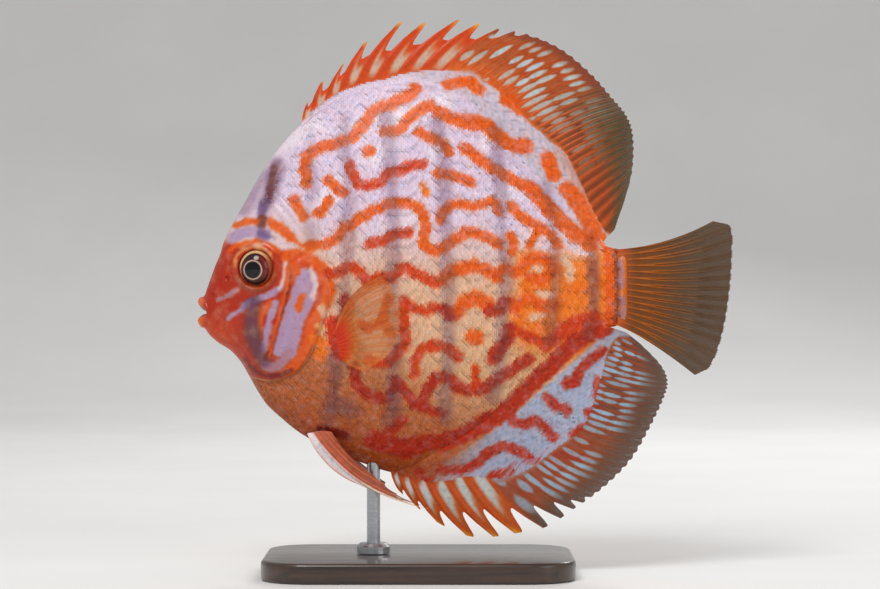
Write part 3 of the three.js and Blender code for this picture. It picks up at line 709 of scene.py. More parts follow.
def painted():
    """The markings as a canvas over the side view, some painted highlight and shade among them: ground
    colours, then patches, then dusky bars.
    """
    nu, nv = CANVAS_SIZE
    cells_u = CANVAS_LOW[0] + CELL * np.arange(nu)
    cells_v = CANVAS_LOW[1] + CELL * np.arange(nv)
    u, v = np.meshgrid(cells_u, cells_v, indexing="ij")
    fine = ripple(u, v, 3.2, 5)
    canvas = np.empty((nu, nv, 3))
    ground(canvas, u, v)
    fin_ground(canvas, u, v)
    face_ground(canvas, u, v)
    for colour, width, *line in FACE_PATCHES + BODY_MARKS + FIN_MARKS:
        path = spline(from_photo(line), 5)
        i0, j0 = np.maximum(((path.min(0) - 6 - CANVAS_LOW) / CELL).astype(int), 0)
        i1, j1 = ((path.max(0) + 6 - CANVAS_LOW) / CELL).astype(int)
        window = (slice(i0, i1), slice(j0, j1))
        reach = line_distance(u[window], v[window], path) + 0.34 * fine[window]
        mask = smooth(width * MM_PER_PX + 0.6, width * MM_PER_PX - 0.5, reach)
        lay(canvas[window], colour, 0.94 * mask)
    for width, strength, *line in BARS:
        path = spline(from_photo(line), 5)
        reach = line_distance(u, v, path) + 0.8 * ripple(u, v, 14, 3)
        shade = strength * smooth(width * MM_PER_PX + 1.6, width * MM_PER_PX - 1.4, reach)
        lay(canvas, "dusk", shade)
    return canvas


CANVAS = painted()
FAR_SHIFT = 1.6  # about how far, in mm, the far side's markings stray


def colour_at(u, y, v, side):
    """The markings, with their painted highlight and shade, at points of the fish; the far side's are
    shifted a little.
    """
    u, v = seen(u, y, v)
    if side == RIGHT:
        shift = smooth(20, 40, u) * smooth(128, 110, u)
        du = FAR_SHIFT * ripple(u, v, 40, 21) * shift
        dv = FAR_SHIFT * ripple(u, v, 36, 22) * shift
        u = u + du
        v = v + dv
    return between(CANVAS, (u - CANVAS_LOW[0]) / CELL, (v - CANVAS_LOW[1]) / CELL)


# Making pieces
CREASE = 60  # edges turned more than this many degrees stay sharp on the fins
PLATE_CREASE = 70


def read_points(mesh):
    points = np.empty(len(mesh.vertices) * 3, np.float32)
    mesh.vertices.foreach_get("co", points)
    return points.reshape(-1, 3).astype(float)


def write_points(mesh, points):
    mesh.vertices.foreach_set("co", np.asarray(points, np.float32).ravel())
    mesh.update()


def paint(mesh, colours):
    """Keeps an 8-bit colour for each point as the attribute that the material reads."""
    layer = mesh.attributes.new("Paint", "FLOAT_COLOR", "POINT")
    full = np.ones((len(mesh.vertices), 4), np.float32)
    full[:, :3] = linear(np.clip(colours, 0, 255))
    layer.data.foreach_set("color", full.ravel())


def plain(count, name):
    """One palette colour for all of a piece's points, to paint on."""
    return np.ones((count, 3)) * PALETTE[name]


def note(mesh, name, values):
    """Keeps a number for each point."""
    layer = mesh.attributes.new(name, "FLOAT", "POINT")
    layer.data.foreach_set("value", np.asarray(values, np.float32).ravel())


def piece(name, bm, finish, nodes=(), shape=None, crease=None):
    """Makes an object of a bmesh, faces outward and smooth, riding on the model's one body."""
    mesh = bpy.data.meshes.new(name)
    bm.to_mesh(mesh)
    bm.free()
    if shape:
        shape(mesh)
        face_out(mesh)
    mesh.shade_smooth()
    if crease:
        mesh.set_sharp_from_angle(angle=math.radians(crease))
    mesh.materials.append(finish.material)
    made = bpy.data.objects.new(name, mesh)
    bpy.context.scene.collection.objects.link(made)
    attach(made, "root")
    if nodes:
        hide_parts(*nodes)


def face_out(mesh):
    """Turns a closed mesh's faces outward."""
    bm = bmesh.new()
    bm.from_mesh(mesh)
    if bm.calc_volume(signed=True) < 0:
        bmesh.ops.reverse_faces(bm, faces=bm.faces)
    bm.to_mesh(mesh)
    bm.free()


# Skin
SKIN_RINGS = 262
SKIN_ROUND = 364
ring_at = through(
    (0, -3), (0.04, -1), (0.08, 0.6), (0.12, 3), (0.46, 26), (0.6, 42), (0.9, 112), (0.999, END))
MOUTH_END = (3.4, -7.6)  # where the skin closes inside the lips


def skin_shape(mesh):
    """Draws a ball out into the body: its poles are the mouth and the tail root."""
    ball = read_points(mesh)
    along = np.arccos(np.clip(ball[:, 2], -1, 1)) / math.pi
    angle = np.arctan2(ball[:, 1], ball[:, 0])
    q = ring_at(np.minimum(1, along * SKIN_RINGS / (SKIN_RINGS - 1)))
    t = np.arcsin(np.clip(np.abs(np.sin(angle)), 0, 1)) / (math.pi / 2)
    s = np.sign(np.sin(angle)) * (0.6 * t + 0.4 * np.sin(t * math.pi / 2))
    side = np.where(np.cos(angle) > 0, LEFT, RIGHT)
    rough_u = side_u(q)
    edge = np.where(s > 0, top_v(q), bottom_v(q))
    rough_v = side_v(q) + (edge - side_v(q)) * np.abs(s)
    sink = COAT * scaled(*seen(rough_u, half_width(q) * np.sqrt(1 - s * s), rough_v))
    u, y, v = skin_point(q, side, s, sink)
    first = along < 1e-4
    last = along > 1 - 1e-4
    u = np.where(first, MOUTH_END[0], np.where(last, END, u))
    y = np.where(first | last, 0, y)
    v = np.where(first, MOUTH_END[1], np.where(last, 0, v))
    write_points(mesh, place(u, y, v))
    left = colour_at(u, y, v, LEFT)
    right = colour_at(u, y, v, RIGHT)
    paint(mesh, np.where((y <= 0)[:, None], left, right))
    # Mouth Shade is 1 on the skin that turns in past the lips; the material paints it dark as painted
    # shade inside the mouth.
    note(mesh, "Mouth", smooth(-0.1, -1.0, q))


skin_finish = Finish(
    "fish skin", Roughness=0.42, Specular_IOR_Level=0.28, Coat_Weight=0.16, Coat_Roughness=0.14,
    Subsurface_Weight=0.06, Subsurface_Scale=0.001, Subsurface_Radius=(1.0, 0.35, 0.2))
spots = skin_finish.noise(900, 2)
clouds = skin_finish.noise(260, 3)
hue = skin_finish.attribute("Paint")
hue = skin_finish.blend(skin_finish.span(spots, 0.56, 0.76, 0, 0.3), hue, solid("skin fleck"))
hue = skin_finish.blend(skin_finish.span(clouds, 0.5, 0.78, 0, 0.16), hue, solid("skin bloom"))
# Painted shade: the skin inside the mouth goes to the dark mouth colour.
hue = skin_finish.blend(skin_finish.attribute("Mouth", 2), hue, solid("mouth"))
skin_finish.set("Base Color", hue)
skin_finish.set("Roughness", skin_finish.span(clouds, 0.3, 0.7, 0.3, 0.46))
skin_finish.bump(spots * 0.6 + clouds, 0.00018)

ball = bmesh.new()
bmesh.ops.create_uvsphere(ball, u_segments=SKIN_ROUND, v_segments=SKIN_RINGS, radius=1)
flesh_nodes = ("head", "gill_cover_left", "gill_cover_right", "torso", "tail_stalk")
piece("skin", ball, skin_finish, flesh_nodes, skin_shape)


# Scales: rows laid along the flank, each a thin closed plate rooted in the skin.
SCALE_PITCH = 1.28
SCALE_ROW = 1.2
FIRST_SCALE = 11
LAST_SCALE = 125.6


class Lie:
    """Turns distance along the flank's cross-section into the section's own measure s."""

    SECTIONS = 160
    AROUND = 241
    STEP = 0.5

    def __init__(self):
        self.us = np.linspace(8, 127.5, self.SECTIONS)
        steps = np.sin(np.linspace(-math.pi / 2, math.pi / 2, self.AROUND))
        self.levels = np.arange(-80, 80.01, self.STEP)
        self.table = np.empty((len(self.us), len(self.levels)))
        self.reach = np.empty((len(self.us), 2))
        for i, u in enumerate(self.us):
            _, y, v = skin_point(np.full(self.AROUND, u), LEFT, steps, 0, False)
            run = np.concatenate([[0], np.cumsum(np.hypot(np.diff(y), np.diff(v)))])
            run -= np.interp(0, v - 1e-9 * np.arange(self.AROUND), run)
            self.table[i] = np.interp(self.levels, run, steps)
            self.reach[i] = run[0], run[-1]

    def section(self, u, level):
        """The measure s at a distance up or down the section from its middle."""
        along = (u - self.us[0]) / (self.us[1] - self.us[0])
        return between(self.table, along, (level - self.levels[0]) / self.STEP)

    def ends(self, u):
        """The distances at the belly edge and at the back."""
        return np.interp(u, self.us, self.reach[:, 0]), np.interp(u, self.us, self.reach[:, 1])


LIE = Lie()


def flank_roots(side):
    """Root places of the scales of one flank, in quincunx rows: u, distance round the section, size."""
    roots = []
    for k, u in enumerate(np.arange(FIRST_SCALE, LAST_SCALE, SCALE_PITCH / 2)):
        low, high = LIE.ends(np.array(u))
        levels = np.arange(-70, 70, SCALE_ROW) + (SCALE_ROW / 2 if k % 2 else 0)
        roots += [(u, level) for level in levels[(levels > low + 0.7) & (levels < high - 0.7)]]
    roots = np.array(roots) + random.normal(0, 0.022, (len(roots), 2))
    u, y, v = skin_point(roots[:, 0], side, LIE.section(roots[:, 0], roots[:, 1]), 0, False)
    cover = scaled(*seen(u, y, v))
    keep = cover > 0.05
    return np.column_stack([roots, 0.6 + 0.4 * cover])[keep]


def scale_plates(count):
    """A lens of fourteen faces for each scale, and how its points lie: along it, across it and up."""
    bm = bmesh.new()
    bmesh.ops.create_uvsphere(bm, u_segments=7, v_segments=2, radius=1)
    plate = np.array([v.co for v in bm.verts])
    while len(bm.verts) < count * len(plate):
        bmesh.ops.duplicate(bm, geom=bm.verts[:] + bm.edges[:] + bm.faces[:])
    bm.verts.ensure_lookup_table()
    bmesh.ops.delete(bm, geom=bm.verts[count * len(plate):], context="VERTS")
    rim = np.abs(plate[:, 2]) < 0.5
    back = np.where(rim, 0.84 * plate[:, 0] + 0.05, 0.0)
    across = np.where(rim, 0.66 * plate[:, 1] * (1 - 0.15 * plate[:, 0]), 0.0)
    centre = np.where(plate[:, 2] > 0, -0.05, -0.4)
    up = np.where(rim, -0.1 + 0.09 * plate[:, 0] - 0.02 * np.abs(plate[:, 1]), centre)
    # tone: each plate lighter toward its raised rear rim as painted highlight, darker in its middle as
    # painted shade under the scale in front, which is partly the scale's own dark base.
    tone = np.where(rim, 1.0 + 0.1 * plate[:, 0] - 0.06 * np.abs(plate[:, 1]), 0.89)
    return bm, back, across, up, tone


def scale_colours(mesh, base, tone):
    """Each scale takes the markings' colour at its root, a little lighter or bluer than the next."""
    count = len(base)
    glow = random.normal(0, 1, (count, 1)) * (6, 5, 5) + random.normal(0, 1, (count, 1)) * (4, -1, -4)
    # The tone lays painted highlight on the plates' rear rims and painted shade in their middles.
    colours = (base + glow)[:, None, :] * tone[None, :, None]
    paint(mesh, colours.reshape(-1, 3))


def unwrap(mesh, u, level, back, across):
    """A map patch about 0.003 across for each scale, at its root's place on the flank laid flat."""
    layer = mesh.uv_layers.new(name="OFBake")
    corner = np.empty(len(mesh.loops), np.int32)
    mesh.loops.foreach_get("vertex_index", corner)
    x = 0.02 + u[:, None] / 135 + 0.0018 * back
    y = 0.5 + level[:, None] / 170 + 0.0024 * across
    flat = np.stack([x, y], -1).reshape(-1, 2)
    layer.data.foreach_set("uv", flat[corner].astype(np.float32).ravel())


def flank_scales(name, side, finish):
    """The scales of one flank, laid over the skin in rows."""
    roots = flank_roots(side)
    bm, back, across, up, tone = scale_plates(len(roots))

    def lay_scales(mesh):
        size = roots[:, 2:] * random.uniform(0.98, 1.04, (len(roots), 1))
        u = roots[:, :1] + size * SCALE_PITCH * back
        s = LIE.section(u, roots[:, 1:2] + size * SCALE_ROW * across)
        pu, py, pv = skin_point(u, side, s, -up * np.ones_like(size), False)
        write_points(mesh, place(pu, py, pv).reshape(-1, 3))
        root_s = LIE.section(roots[:, 0], roots[:, 1])
        root_u, root_y, root_v = skin_point(roots[:, 0], side, root_s, 0, False)
        scale_colours(mesh, colour_at(root_u, root_y, root_v, side), tone)
        unwrap(mesh, roots[:, 0], roots[:, 1], back, across)

    piece(name, bm, finish, (), lay_scales, PLATE_CREASE)


SHEATH_PITCH = 0.98
SHEATH_ROW = 0.9
SHEATH_MIDDLE = 96  # the rows of the sheath turn about this place
SHEATH_END = 121


def sheath_roots(above):
    """Root places on the scaly sheath of the dorsal or the anal fin, in rows that run along its rays."""
    lean = math.radians(41 if above else -38)
    steps = np.arange(-90, 90, SHEATH_PITCH / 2)
    across = np.arange(-90, 90, SHEATH_ROW)
    a, b = np.meshgrid(steps, across, indexing="ij")
    b = b + (np.arange(len(steps)) % 2)[:, None] * SHEATH_ROW / 2
    middle = (SHEATH_MIDDLE, 40 if above else -40)
    u = (middle[0] + a * math.cos(lean) - b * math.sin(lean)).ravel()
    v = (middle[1] + a * math.sin(lean) + b * math.cos(lean)).ravel()
    out, sheath = beyond_edge(u, v)
    start = 34 if above else 60
    keep = (out > -3.6) & (out < sheath - 0.3) & ((v > 0) == above)
    keep = keep & (u > start) & (u < SHEATH_END)
    return u[keep], v[keep], out[keep], lean


def sheath_scales(name, side, finish):
    """The scales on one side of both fins' sheaths."""
    parts = [sheath_roots(True), sheath_roots(False)]
    root_u = np.concatenate([part[0] for part in parts])
    root_v = np.concatenate([part[1] for part in parts])
    out = np.concatenate([part[2] for part in parts])
    lean = np.concatenate([np.full(len(part[0]), part[3]) for part in parts])[:, None]
    bm, back, across, up, tone = scale_plates(len(root_u))

    def lay_scales(mesh):
        du = SHEATH_PITCH * back
        dv = SHEATH_ROW * across
        u = root_u[:, None] + du * np.cos(lean) - dv * np.sin(lean)
        v = root_v[:, None] + du * np.sin(lean) + dv * np.cos(lean)
        y = np.maximum(sheath_flesh(u, v) + 0.12 + 0.7 * up, 0.02)
        write_points(mesh, place(u, side * y, v).reshape(-1, 3))
        scale_colours(mesh, colour_at(root_u, 0, root_v, side), tone)
        reach = LIE.ends(root_u)
        level = np.where(root_v > 0, reach[1] + out, reach[0] - out)
        unwrap(mesh, root_u, level, back, across)

    piece(name, bm, finish, (), lay_scales, PLATE_CREASE)


scale_finish = Finish(
    "scales", Roughness=0.4, Specular_IOR_Level=0.22, Coat_Weight=0.06, Coat_Roughness=0.25)
sheen = scale_finish.noise(420, 2)
tint = scale_finish.attribute("Paint")
tint = scale_finish.blend(scale_finish.span(sheen, 0.5, 0.8, 0, 0.12), tint, solid("scale sheen"))
scale_finish.set("Base Color", tint)
scale_finish.set("Roughness", scale_finish.span(sheen, 0.3, 0.7, 0.32, 0.48))
for suffix, flank in SIDES:
    flank_scales("scales_" + suffix, flank, scale_finish)
    sheath_scales("sheath_scales_" + suffix, flank, scale_finish)


# Fins
def ray_fan(keys, sweep):
    """Rays from keys (number, root u, root v, tip u, tip v), blended between keys and bent by sweep."""
    parts = [through(*[(key[0], key[k]) for key in keys]) for k in (1, 2, 3, 4)]

    def ray(index, share):
        ru, rv, tu, tv = [part(index) for part in parts]
        bow = 4 * share * (1 - share) * sweep(index)
        return mix(ru, tu, share) + (tv - rv) * bow, mix(rv, tv, share) - (tu - ru) * bow

    return ray


DORSAL_SPINES = 9
DORSAL_RAYS = 39
dorsal_ray = ray_fan(
    [(0, 31.2, 47, 32.4, 54.3), (1, 34.4, 50, 36.6, 60.8), (2, 38.2, 52.6, 43.1, 66.3),
     (3, 42.4, 55, 49.4, 72.6), (4, 47, 57, 60.2, 79.1), (5, 52.2, 58.4, 67, 78.8),
     (6, 57.8, 59, 77.3, 79.7), (7, 63.6, 59.2, 83.4, 78.6),
     (8, 69.2, 58.8, 89.4, 77), (10, 73.6, 57.5, 98, 75.4), (14, 80.5, 52.5, 109, 70.6),
     (18, 86, 47.4, 118, 63.2), (22, 91.6, 41, 124, 56.2), (26, 96.6, 35, 128, 51),
     (30, 102.2, 29.4, 129.9, 45.5), (34, 110, 22, 130, 37), (36.5, 115.6, 15.6, 128.4, 29),
     (38, 119.6, 12, 124.4, 17.2)],
    lambda i: mix(-0.07, -0.055, smooth(4, 12, i)) * (1 - smooth(28, 38, i)))
ANAL_SPINES = 7
ANAL_RAYS = 37
anal_ray = ray_fan(
    [(0, 57.4, -53.2, 60, -60.8), (1, 59.8, -53.2, 64.8, -65.2), (2, 62.8, -53.2, 71.4, -70.2),
     (3, 67, -52.4, 80.2, -74.2), (4, 71.6, -50.6, 88.2, -74.5), (5, 76.2, -48, 94.6, -73.5),
     (6, 80.8, -45.4, 103, -71.9), (8, 85.4, -42.2, 112, -66.2), (12, 91.2, -37.4, 121.6, -59.3),
     (16, 96.8, -32.8, 129.4, -51.5), (20, 101.8, -28.6, 134.6, -42.6), (25, 107.4, -23.6, 139, -33),
     (29, 112.2, -19.4, 140.2, -28), (32.5, 117, -15.2, 138.2, -23.2), (35, 120.6, -12.4, 132.6, -17.4),
     (36, 122, -11.6, 128, -13.6)],
    lambda i: mix(0.07, 0.1, smooth(2, 14, i)) * (1 - smooth(22, 34, i)))
TAIL_RAYS = 15
TAIL_ROOT_HALF = 2.7
TAIL_BEND = 3.2
tail_ray = ray_fan(
    [(0, 126.3, 11.2, 154.4, 19.7), (1, 126.3, 9.6, 159.4, 18.2), (3, 126.3, 6.6, 160, 9.8),
     (7, 126.3, -0.4, 159, -3.4), (11, 126.3, -6.8, 156.6, -16), (13, 126.3, -9.8, 153.2, -24),
     (14, 126.3, -11.4, 149, -26.3)],
    lambda i: mix(0.05, -0.02, i / 14))


def spiny_reach(index, notch, lobe):
    """How far the membrane reaches: full at a spine, falling away behind it to the next."""
    part = index - np.floor(index)
    behind = np.where(part < 0.84, smooth(*lobe, part), 1 - smooth(0.86, 0.99, part))
    return 1 - notch(np.floor(index)) * behind


def sheet(rays, steps, rows):
    """A flat sheet with two faces, its rays across it, to be bent into a fin."""
    bm = bmesh.new()
    bmesh.ops.create_grid(bm, x_segments=(rays - 1) * steps, y_segments=rows, size=1)
    bmesh.ops.extrude_face_region(bm, geom=bm.faces[:])
    return bm


def sheet_places(mesh, rays):
    """For each point of a sheet's one face, the ray's number and the share of the way out."""
    flat = read_points(mesh)
    count = len(flat) // 2
    return (flat[:count, 0] + 1) / 2 * (rays - 1), (flat[:count, 1] + 1) / 2


def paint_sheet(mesh, colours, clear):
    """Gives both faces of a sheet the same colours and clearness."""
    paint(mesh, np.vstack([colours, colours]))
    note(mesh, "Clear", np.concatenate([clear, clear]))


BURIED = 0.13  # how far a fin's sheet runs on below its rays' roots, as a share of their length
RAY_JOINTS = 190


def upright(name, node, ray, spines, rays, notch, wave, look, finish, steps=12, rows=72):
    """One fin in the middle plane: a sheet with its rays raised on both faces, spines first."""

    def shape(mesh):
        index, row = sheet_places(mesh, rays)
        spiny = 1 - smooth(spines - 1.02, spines - 0.98, index)
        share = mix(-BURIED, 1, row ** 0.9) * spiny_reach(index, notch, look["lobe"])
        u, v = ray(index, share)
        fork = smooth(0.5, 0.8, share) * (1 - spiny) * 0.18
        off = np.abs(index - np.round(index))
        crest = bell(off, fork, mix(0.11, 0.09, spiny))
        thin = mix(0.16, 0.09, share)
        thick = mix(mix(0.38, 0.17, share), mix(0.62, 0.3, share), spiny)
        joints = 0.06 * np.sin(share * RAY_JOINTS) * crest * (1 - spiny)
        joints = 1 + joints * smooth(0.35, 0.5, share) * smooth(0.94, 0.85, share)
        out, sheath = beyond_edge(u, v)
        half = mix(0.1, (thin + (thick - thin) * crest) * joints, smooth(0.4, 2.2, out - sheath))
        half = np.cbrt(half ** 3 + sheath_flesh(u, v) ** 3)
        y = wave(index) * smooth(0.4, 1, share) * smooth(0, 5, out - sheath)
        write_points(mesh, np.vstack([place(u, y - half, v), place(u, y + half, v)]))
        fin_colours(mesh, u, v, index, share, row ** 0.9, crest, spiny, look)

    piece(name, sheet(rays, steps, rows), finish, (node,), shape, CREASE)


FLECK_SHARE = 0.72  # how many of the flecks are bright


def flecks(index, share, rows, seed):
    """Lens-shaped pale flecks between the rays, in uneven rows across the fin."""
    dice = np.random.default_rng(seed)
    gap = np.floor(index).astype(int)
    count = gap.max() + 1
    across = (np.abs(index - gap - 0.5) / 0.4) ** 1.3
    shown = np.zeros(len(index))
    for middle, half in rows:
        centre = middle + dice.uniform(-0.03, 0.03, count)
        length = half * dice.uniform(0.7, 1.5, count)
        bright = dice.random(count) < FLECK_SHARE
        strength = np.where(bright, dice.uniform(0.75, 1.0, count), 0.12)
        lens = ((share - centre[gap]) / length[gap]) ** 2 + across
        shown = np.maximum(shown, strength[gap] * smooth(1.15, 0.45, lens))
    return shown


def fin_colours(mesh, u, v, index, share, height, crest, spiny, look):
    """The painted side view, with pale flecks between soft rays and banded webs behind the spines."""
    fin = look["fin"]
    colours = colour_at(u, 0, v, LEFT)
    out, sheath = beyond_edge(u, v)
    soft = smooth(0, 1.5, out - sheath) * (1 - spiny)
    pale = flecks(index, share, look["rows"], look["seed"]) * look["fade"](index)
    lay(colours, fin + " shade", 0.6 * soft * smooth(0.25, 0.6, share))
    lay(colours, fin + " ray", 0.4 * soft * crest)
    part = index - np.floor(index)
    lay(colours, fin + " line", 0.75 * soft * bell(part, 0.5, 0.27) * smooth(16, 23, index))
    lay(colours, fin + " fleck", 0.95 * soft * pale * (1 - 0.4 * crest))
    lay(colours, fin + " margin", 0.7 * soft * smooth(0.84, 0.97, share))
    lay(colours, fin + " rear", soft * (1 - 0.4 * crest) * look["rearward"](index, share))
    lay(colours, fin + " spine", 0.9 * spiny * smooth(-0.5, 1.5, out))
    streak = smooth(0.22, 0.4, part) * smooth(0.86, 0.72, part)
    streak = streak * smooth(*look["streak"], height) * smooth(0.93, 0.66, height)
    lay(colours, fin + " gap", 0.85 * spiny * streak)
    lay(colours, fin + " root", 0.8 * spiny * smooth(0.46, 0.14, height) * smooth(0, 1.2, out))
    lay(colours, fin + " tip", spiny * smooth(0.86, 1, height) * smooth(0.4, 0.1, part))
    glass = 0.03 + 0.2 * smooth(0.8, 1.0, share) + look["glass"](index) * smooth(0.5, 0.85, share)
    paint_sheet(mesh, colours, soft * (1 - 0.5 * crest) * (1 - pale) * glass)


fin_finish = Finish(
    "fin membrane", Roughness=0.42, Specular_IOR_Level=0.25, Coat_Weight=0.08, Coat_Roughness=0.2,
    Subsurface_Weight=0.06, Subsurface_Scale=0.0008, Subsurface_Radius=(1.0, 0.4, 0.25))
mottle = fin_finish.noise(700, 3)
web = fin_finish.attribute("Paint")
web = fin_finish.blend(fin_finish.span(mottle, 0.45, 0.75, 0, 0.3), web, solid("membrane mottle"))
fin_finish.set("Base Color", web)
fin_finish.set("Alpha", 1 - fin_finish.attribute("Clear", 2))
fin_finish.bump(mottle, 0.0001)

# How each upright fin is painted. rows are the flecks' middles and half lengths and lobe the fall of the
# web behind a spine, as shares. rearward, fade and glass say where the rear tone, the flecks and the
# clearness lie.
DORSAL_LOOK = {
    "fin": "dorsal", "seed": 31, "streak": (0.3, 0.55), "lobe": (0.1, 0.56),
    "rows": [(0.27, 0.07), (0.48, 0.1), (0.68, 0.1), (0.84, 0.07)],
    "rearward": lambda index, share: 0.9 * smooth(0.5, 0.9, share) * smooth(17, 25, index),
    "fade": lambda index: mix(1.0, 0.5, smooth(18, 25, index)) * smooth(34, 28, index),
    "glass": lambda index: 0.14 * smooth(26, 34, index),
}
ANAL_LOOK = {
    "fin": "anal", "seed": 37, "streak": (0.3, 0.45), "lobe": (0.24, 0.78),
    "rows": [(0.4, 0.09), (0.57, 0.11), (0.75, 0.12)],
    "rearward": lambda index, share: 0.8 * smooth(0.76, 0.93, share + 0.003 * index),
    "fade": lambda index: smooth(37, 33, index),
    "glass": lambda index: 0.05,
}
upright("dorsal", "dorsal_fin", dorsal_ray, DORSAL_SPINES, DORSAL_RAYS,
        notch=lambda i: mix(0.46, 0.012, smooth(3.5, DORSAL_SPINES + 1.5, i)),
        wave=lambda i: 1.1 * np.sin(i * 0.42), look=DORSAL_LOOK, finish=fin_finish)
upright("anal", "anal_fin", anal_ray, ANAL_SPINES, ANAL_RAYS,
        notch=lambda i: mix(0.36, 0.014, smooth(3, ANAL_SPINES + 3, i)),
        wave=lambda i: np.sin(1 + i * 0.4), look=ANAL_LOOK, finish=fin_finish)


def tail(steps=22, rows=60):
    """The tail fin: its rays fork twice, its root is thick as the stalk and it bends a little aside."""

    def shape(mesh):
        index, share = sheet_places(mesh, TAIL_RAYS)
        part = index - np.round(index)
        first = smooth(0.12, 0.4, share) * 0.16
        second = smooth(0.5, 0.8, share) * 0.08
        spread = np.abs(np.abs(np.abs(part) - first) - second)
        crest = bell(spread, 0, mix(0.12, 0.045, smooth(0.1, 0.8, share)))
        half = mix(0.16, 0.09, share) + mix(0.42, 0.13, share) * crest
        half = mix(TAIL_ROOT_HALF, half, smooth(-0.04, 0.16, share))
        u, v = tail_ray(index, share)
        u = u - 0.5 * share * (1 - crest) - (1 - share) ** 6 * 1.2
        y = TAIL_BEND * share * share
        write_points(mesh, np.vstack([place(u, y - half, v), place(u, y + half, v)]))
        tone = plain(len(u), "tail web")
        lay(tone, "tail inner web", smooth(0.75, 0.1, share))
        lay(tone, "tail root", smooth(0.16, 0.0, share))
        lay(tone, "tail ray", crest * smooth(0.95, 0.2, share) * 0.85)
        lay(tone, "tail ray tip", crest * smooth(0.5, 1, share) * 0.7)
        paint_sheet(mesh, tone, smooth(0.1, 0.9, share) * (1 - 0.7 * crest) * 0.22)

    piece("tail", sheet(TAIL_RAYS, steps, rows), fin_finish, ("tail_fin",), shape, CREASE)


tail()

pectoral_ray = ray_fan(
    [(0, 42, -12.4, 55.6, 3.4), (3, 42, -14, 59.6, -2.4), (6, 42.4, -16.4, 60.8, -10.4),
     (9, 42.8, -18.8, 57.6, -19.4), (11, 43, -20.6, 50.4, -24.8)],
    lambda i: mix(-0.14, 0.06, i / 11))
PECTORAL_LEAN = 0.36
pelvic_ray = ray_fan(
    [(0, 33, -43.4, 50.4, -59.4), (1, 34.4, -43.1, 68.7, -65.8), (2, 35.8, -42.8, 59.4, -62),
     (3, 37.2, -42.6, 56, -58.6), (4, 38.6, -42.6, 53, -56), (5, 40.2, -42.8, 49.6, -53.6)],
    lambda i: mix(0.12, 0.05, i / 5))


def paired(kind, suffix, side, rays, ray, rows, steps, layout):
    """A fin of one side: layout gives distance out, thickness, lean, colour and clearness."""

    def shape(mesh):
        index, row = sheet_places(mesh, rays)
        u, v, out, half, lean, colours, clear = layout(index, row, ray)
        du = half * math.sin(lean)
        dy = half * math.cos(lean)
        near = place(u - du, side * (out + dy), v)
        far = place(u + du, side * (out - dy), v)
        write_points(mesh, np.vstack([near, far]))
        paint_sheet(mesh, colours, clear)

    node = kind + "_fin_" + suffix
    piece(kind + "_" + suffix, sheet(rays, steps, rows), fin_finish, (node,), shape, CREASE)


def pectoral_layout(index, row, ray):
    """A clear fan that stands out from the flank behind the gill cover."""
    share = row * (1 - 0.02 * np.abs(np.sin(index * math.pi)))
    u, v = ray(index, share)
    part = index - np.round(index)
    fork = smooth(0.4, 0.8, share) * 0.18
    crest = bell(np.minimum(np.abs(part - fork), np.abs(part + fork)), 0, 0.12)
    flank = half_width(u) * np.maximum(0.2, 1 - (v / 58) ** 2) ** 0.72
    out = mix(flank - 1.2, 12.6 + 6.4 * share, smooth(0, 0.3, share))
    half = mix(1.0, mix(0.12, 0.08, share) + mix(0.3, 0.1, share) * crest, smooth(0, 0.3, share))
    leading = smooth(2.2, 0.6, index)
    tone = plain(len(u), "pectoral web")
    lay(tone, "pectoral root", smooth(0.36, 0.08, share))
    lay(tone, "pectoral ray", 0.6 * crest)
    lay(tone, "pectoral front", leading)
    clear = smooth(0.14, 0.42, share) * (1 - 0.32 * crest) * (1 - 0.42 * leading) * 0.86
    return u, v, out, half, PECTORAL_LEAN, tone, clear


def pelvic_layout(index, row, ray):
    """A narrow fin under the breast with a white spine and a long pale thread."""
    reach = 1 - 0.14 * np.sin(np.minimum(index, 1) * math.pi)
    reach = reach - 0.1 * np.sin(np.clip(index - 1, 0, 1) * math.pi)
    share = row * reach * (1 - 0.05 * np.abs(np.sin(index * math.pi)) * (index > 2))
    u, v = ray(index, share)
    part = index - np.round(index)
    crest = bell(part, 0, 0.16)
    out = mix(5.2, 3.9, smooth(0, 0.5, share)) + 1.1 * (index / 5)
    thick = np.where(index < 1.5, 0.62, 0.4)
    half = mix(0.9, mix(0.14, 0.1, share) + mix(thick, 0.12, share) * crest, smooth(0, 0.3, share))
    white = np.exp(-((index - 0.6) / mix(0.75, 0.34, share)) ** 4)
    thread = np.exp(-((index - 1) / 0.5) ** 4)
    tone = plain(len(u), "pelvic web")
    lay(tone, "pelvic ray", 0.5 * crest * (index > 1.4))
    lay(tone, "pelvic spine", white * smooth(0.95, 0.8, share))
    lay(tone, "pelvic thread", thread * smooth(0.4, 0.6, share))
    clear = 0.35 * (1 - crest) * smooth(0.3, 0.7, share)
    return u, v, out, half, 0.0, tone, clear


for suffix, flank in SIDES:
    paired("pectoral", suffix, flank, 12, pectoral_ray, rows=40, steps=10, layout=pectoral_layout)
    paired("pelvic", suffix, flank, 6, pelvic_ray, rows=48, steps=12, layout=pelvic_layout)


# Eyes: where one sits, its size, how far it stands proud and how far it turns to the front.
EYE_U = 17.7
EYE_V = 5.5
EYE_RADIUS = 5.2
EYE_TALL = 1.05
EYE_DEPTH = 3.6
EYE_PROUD = 1.5
EYE_TURN = 0.2
EYE_SHIFT = 0.55


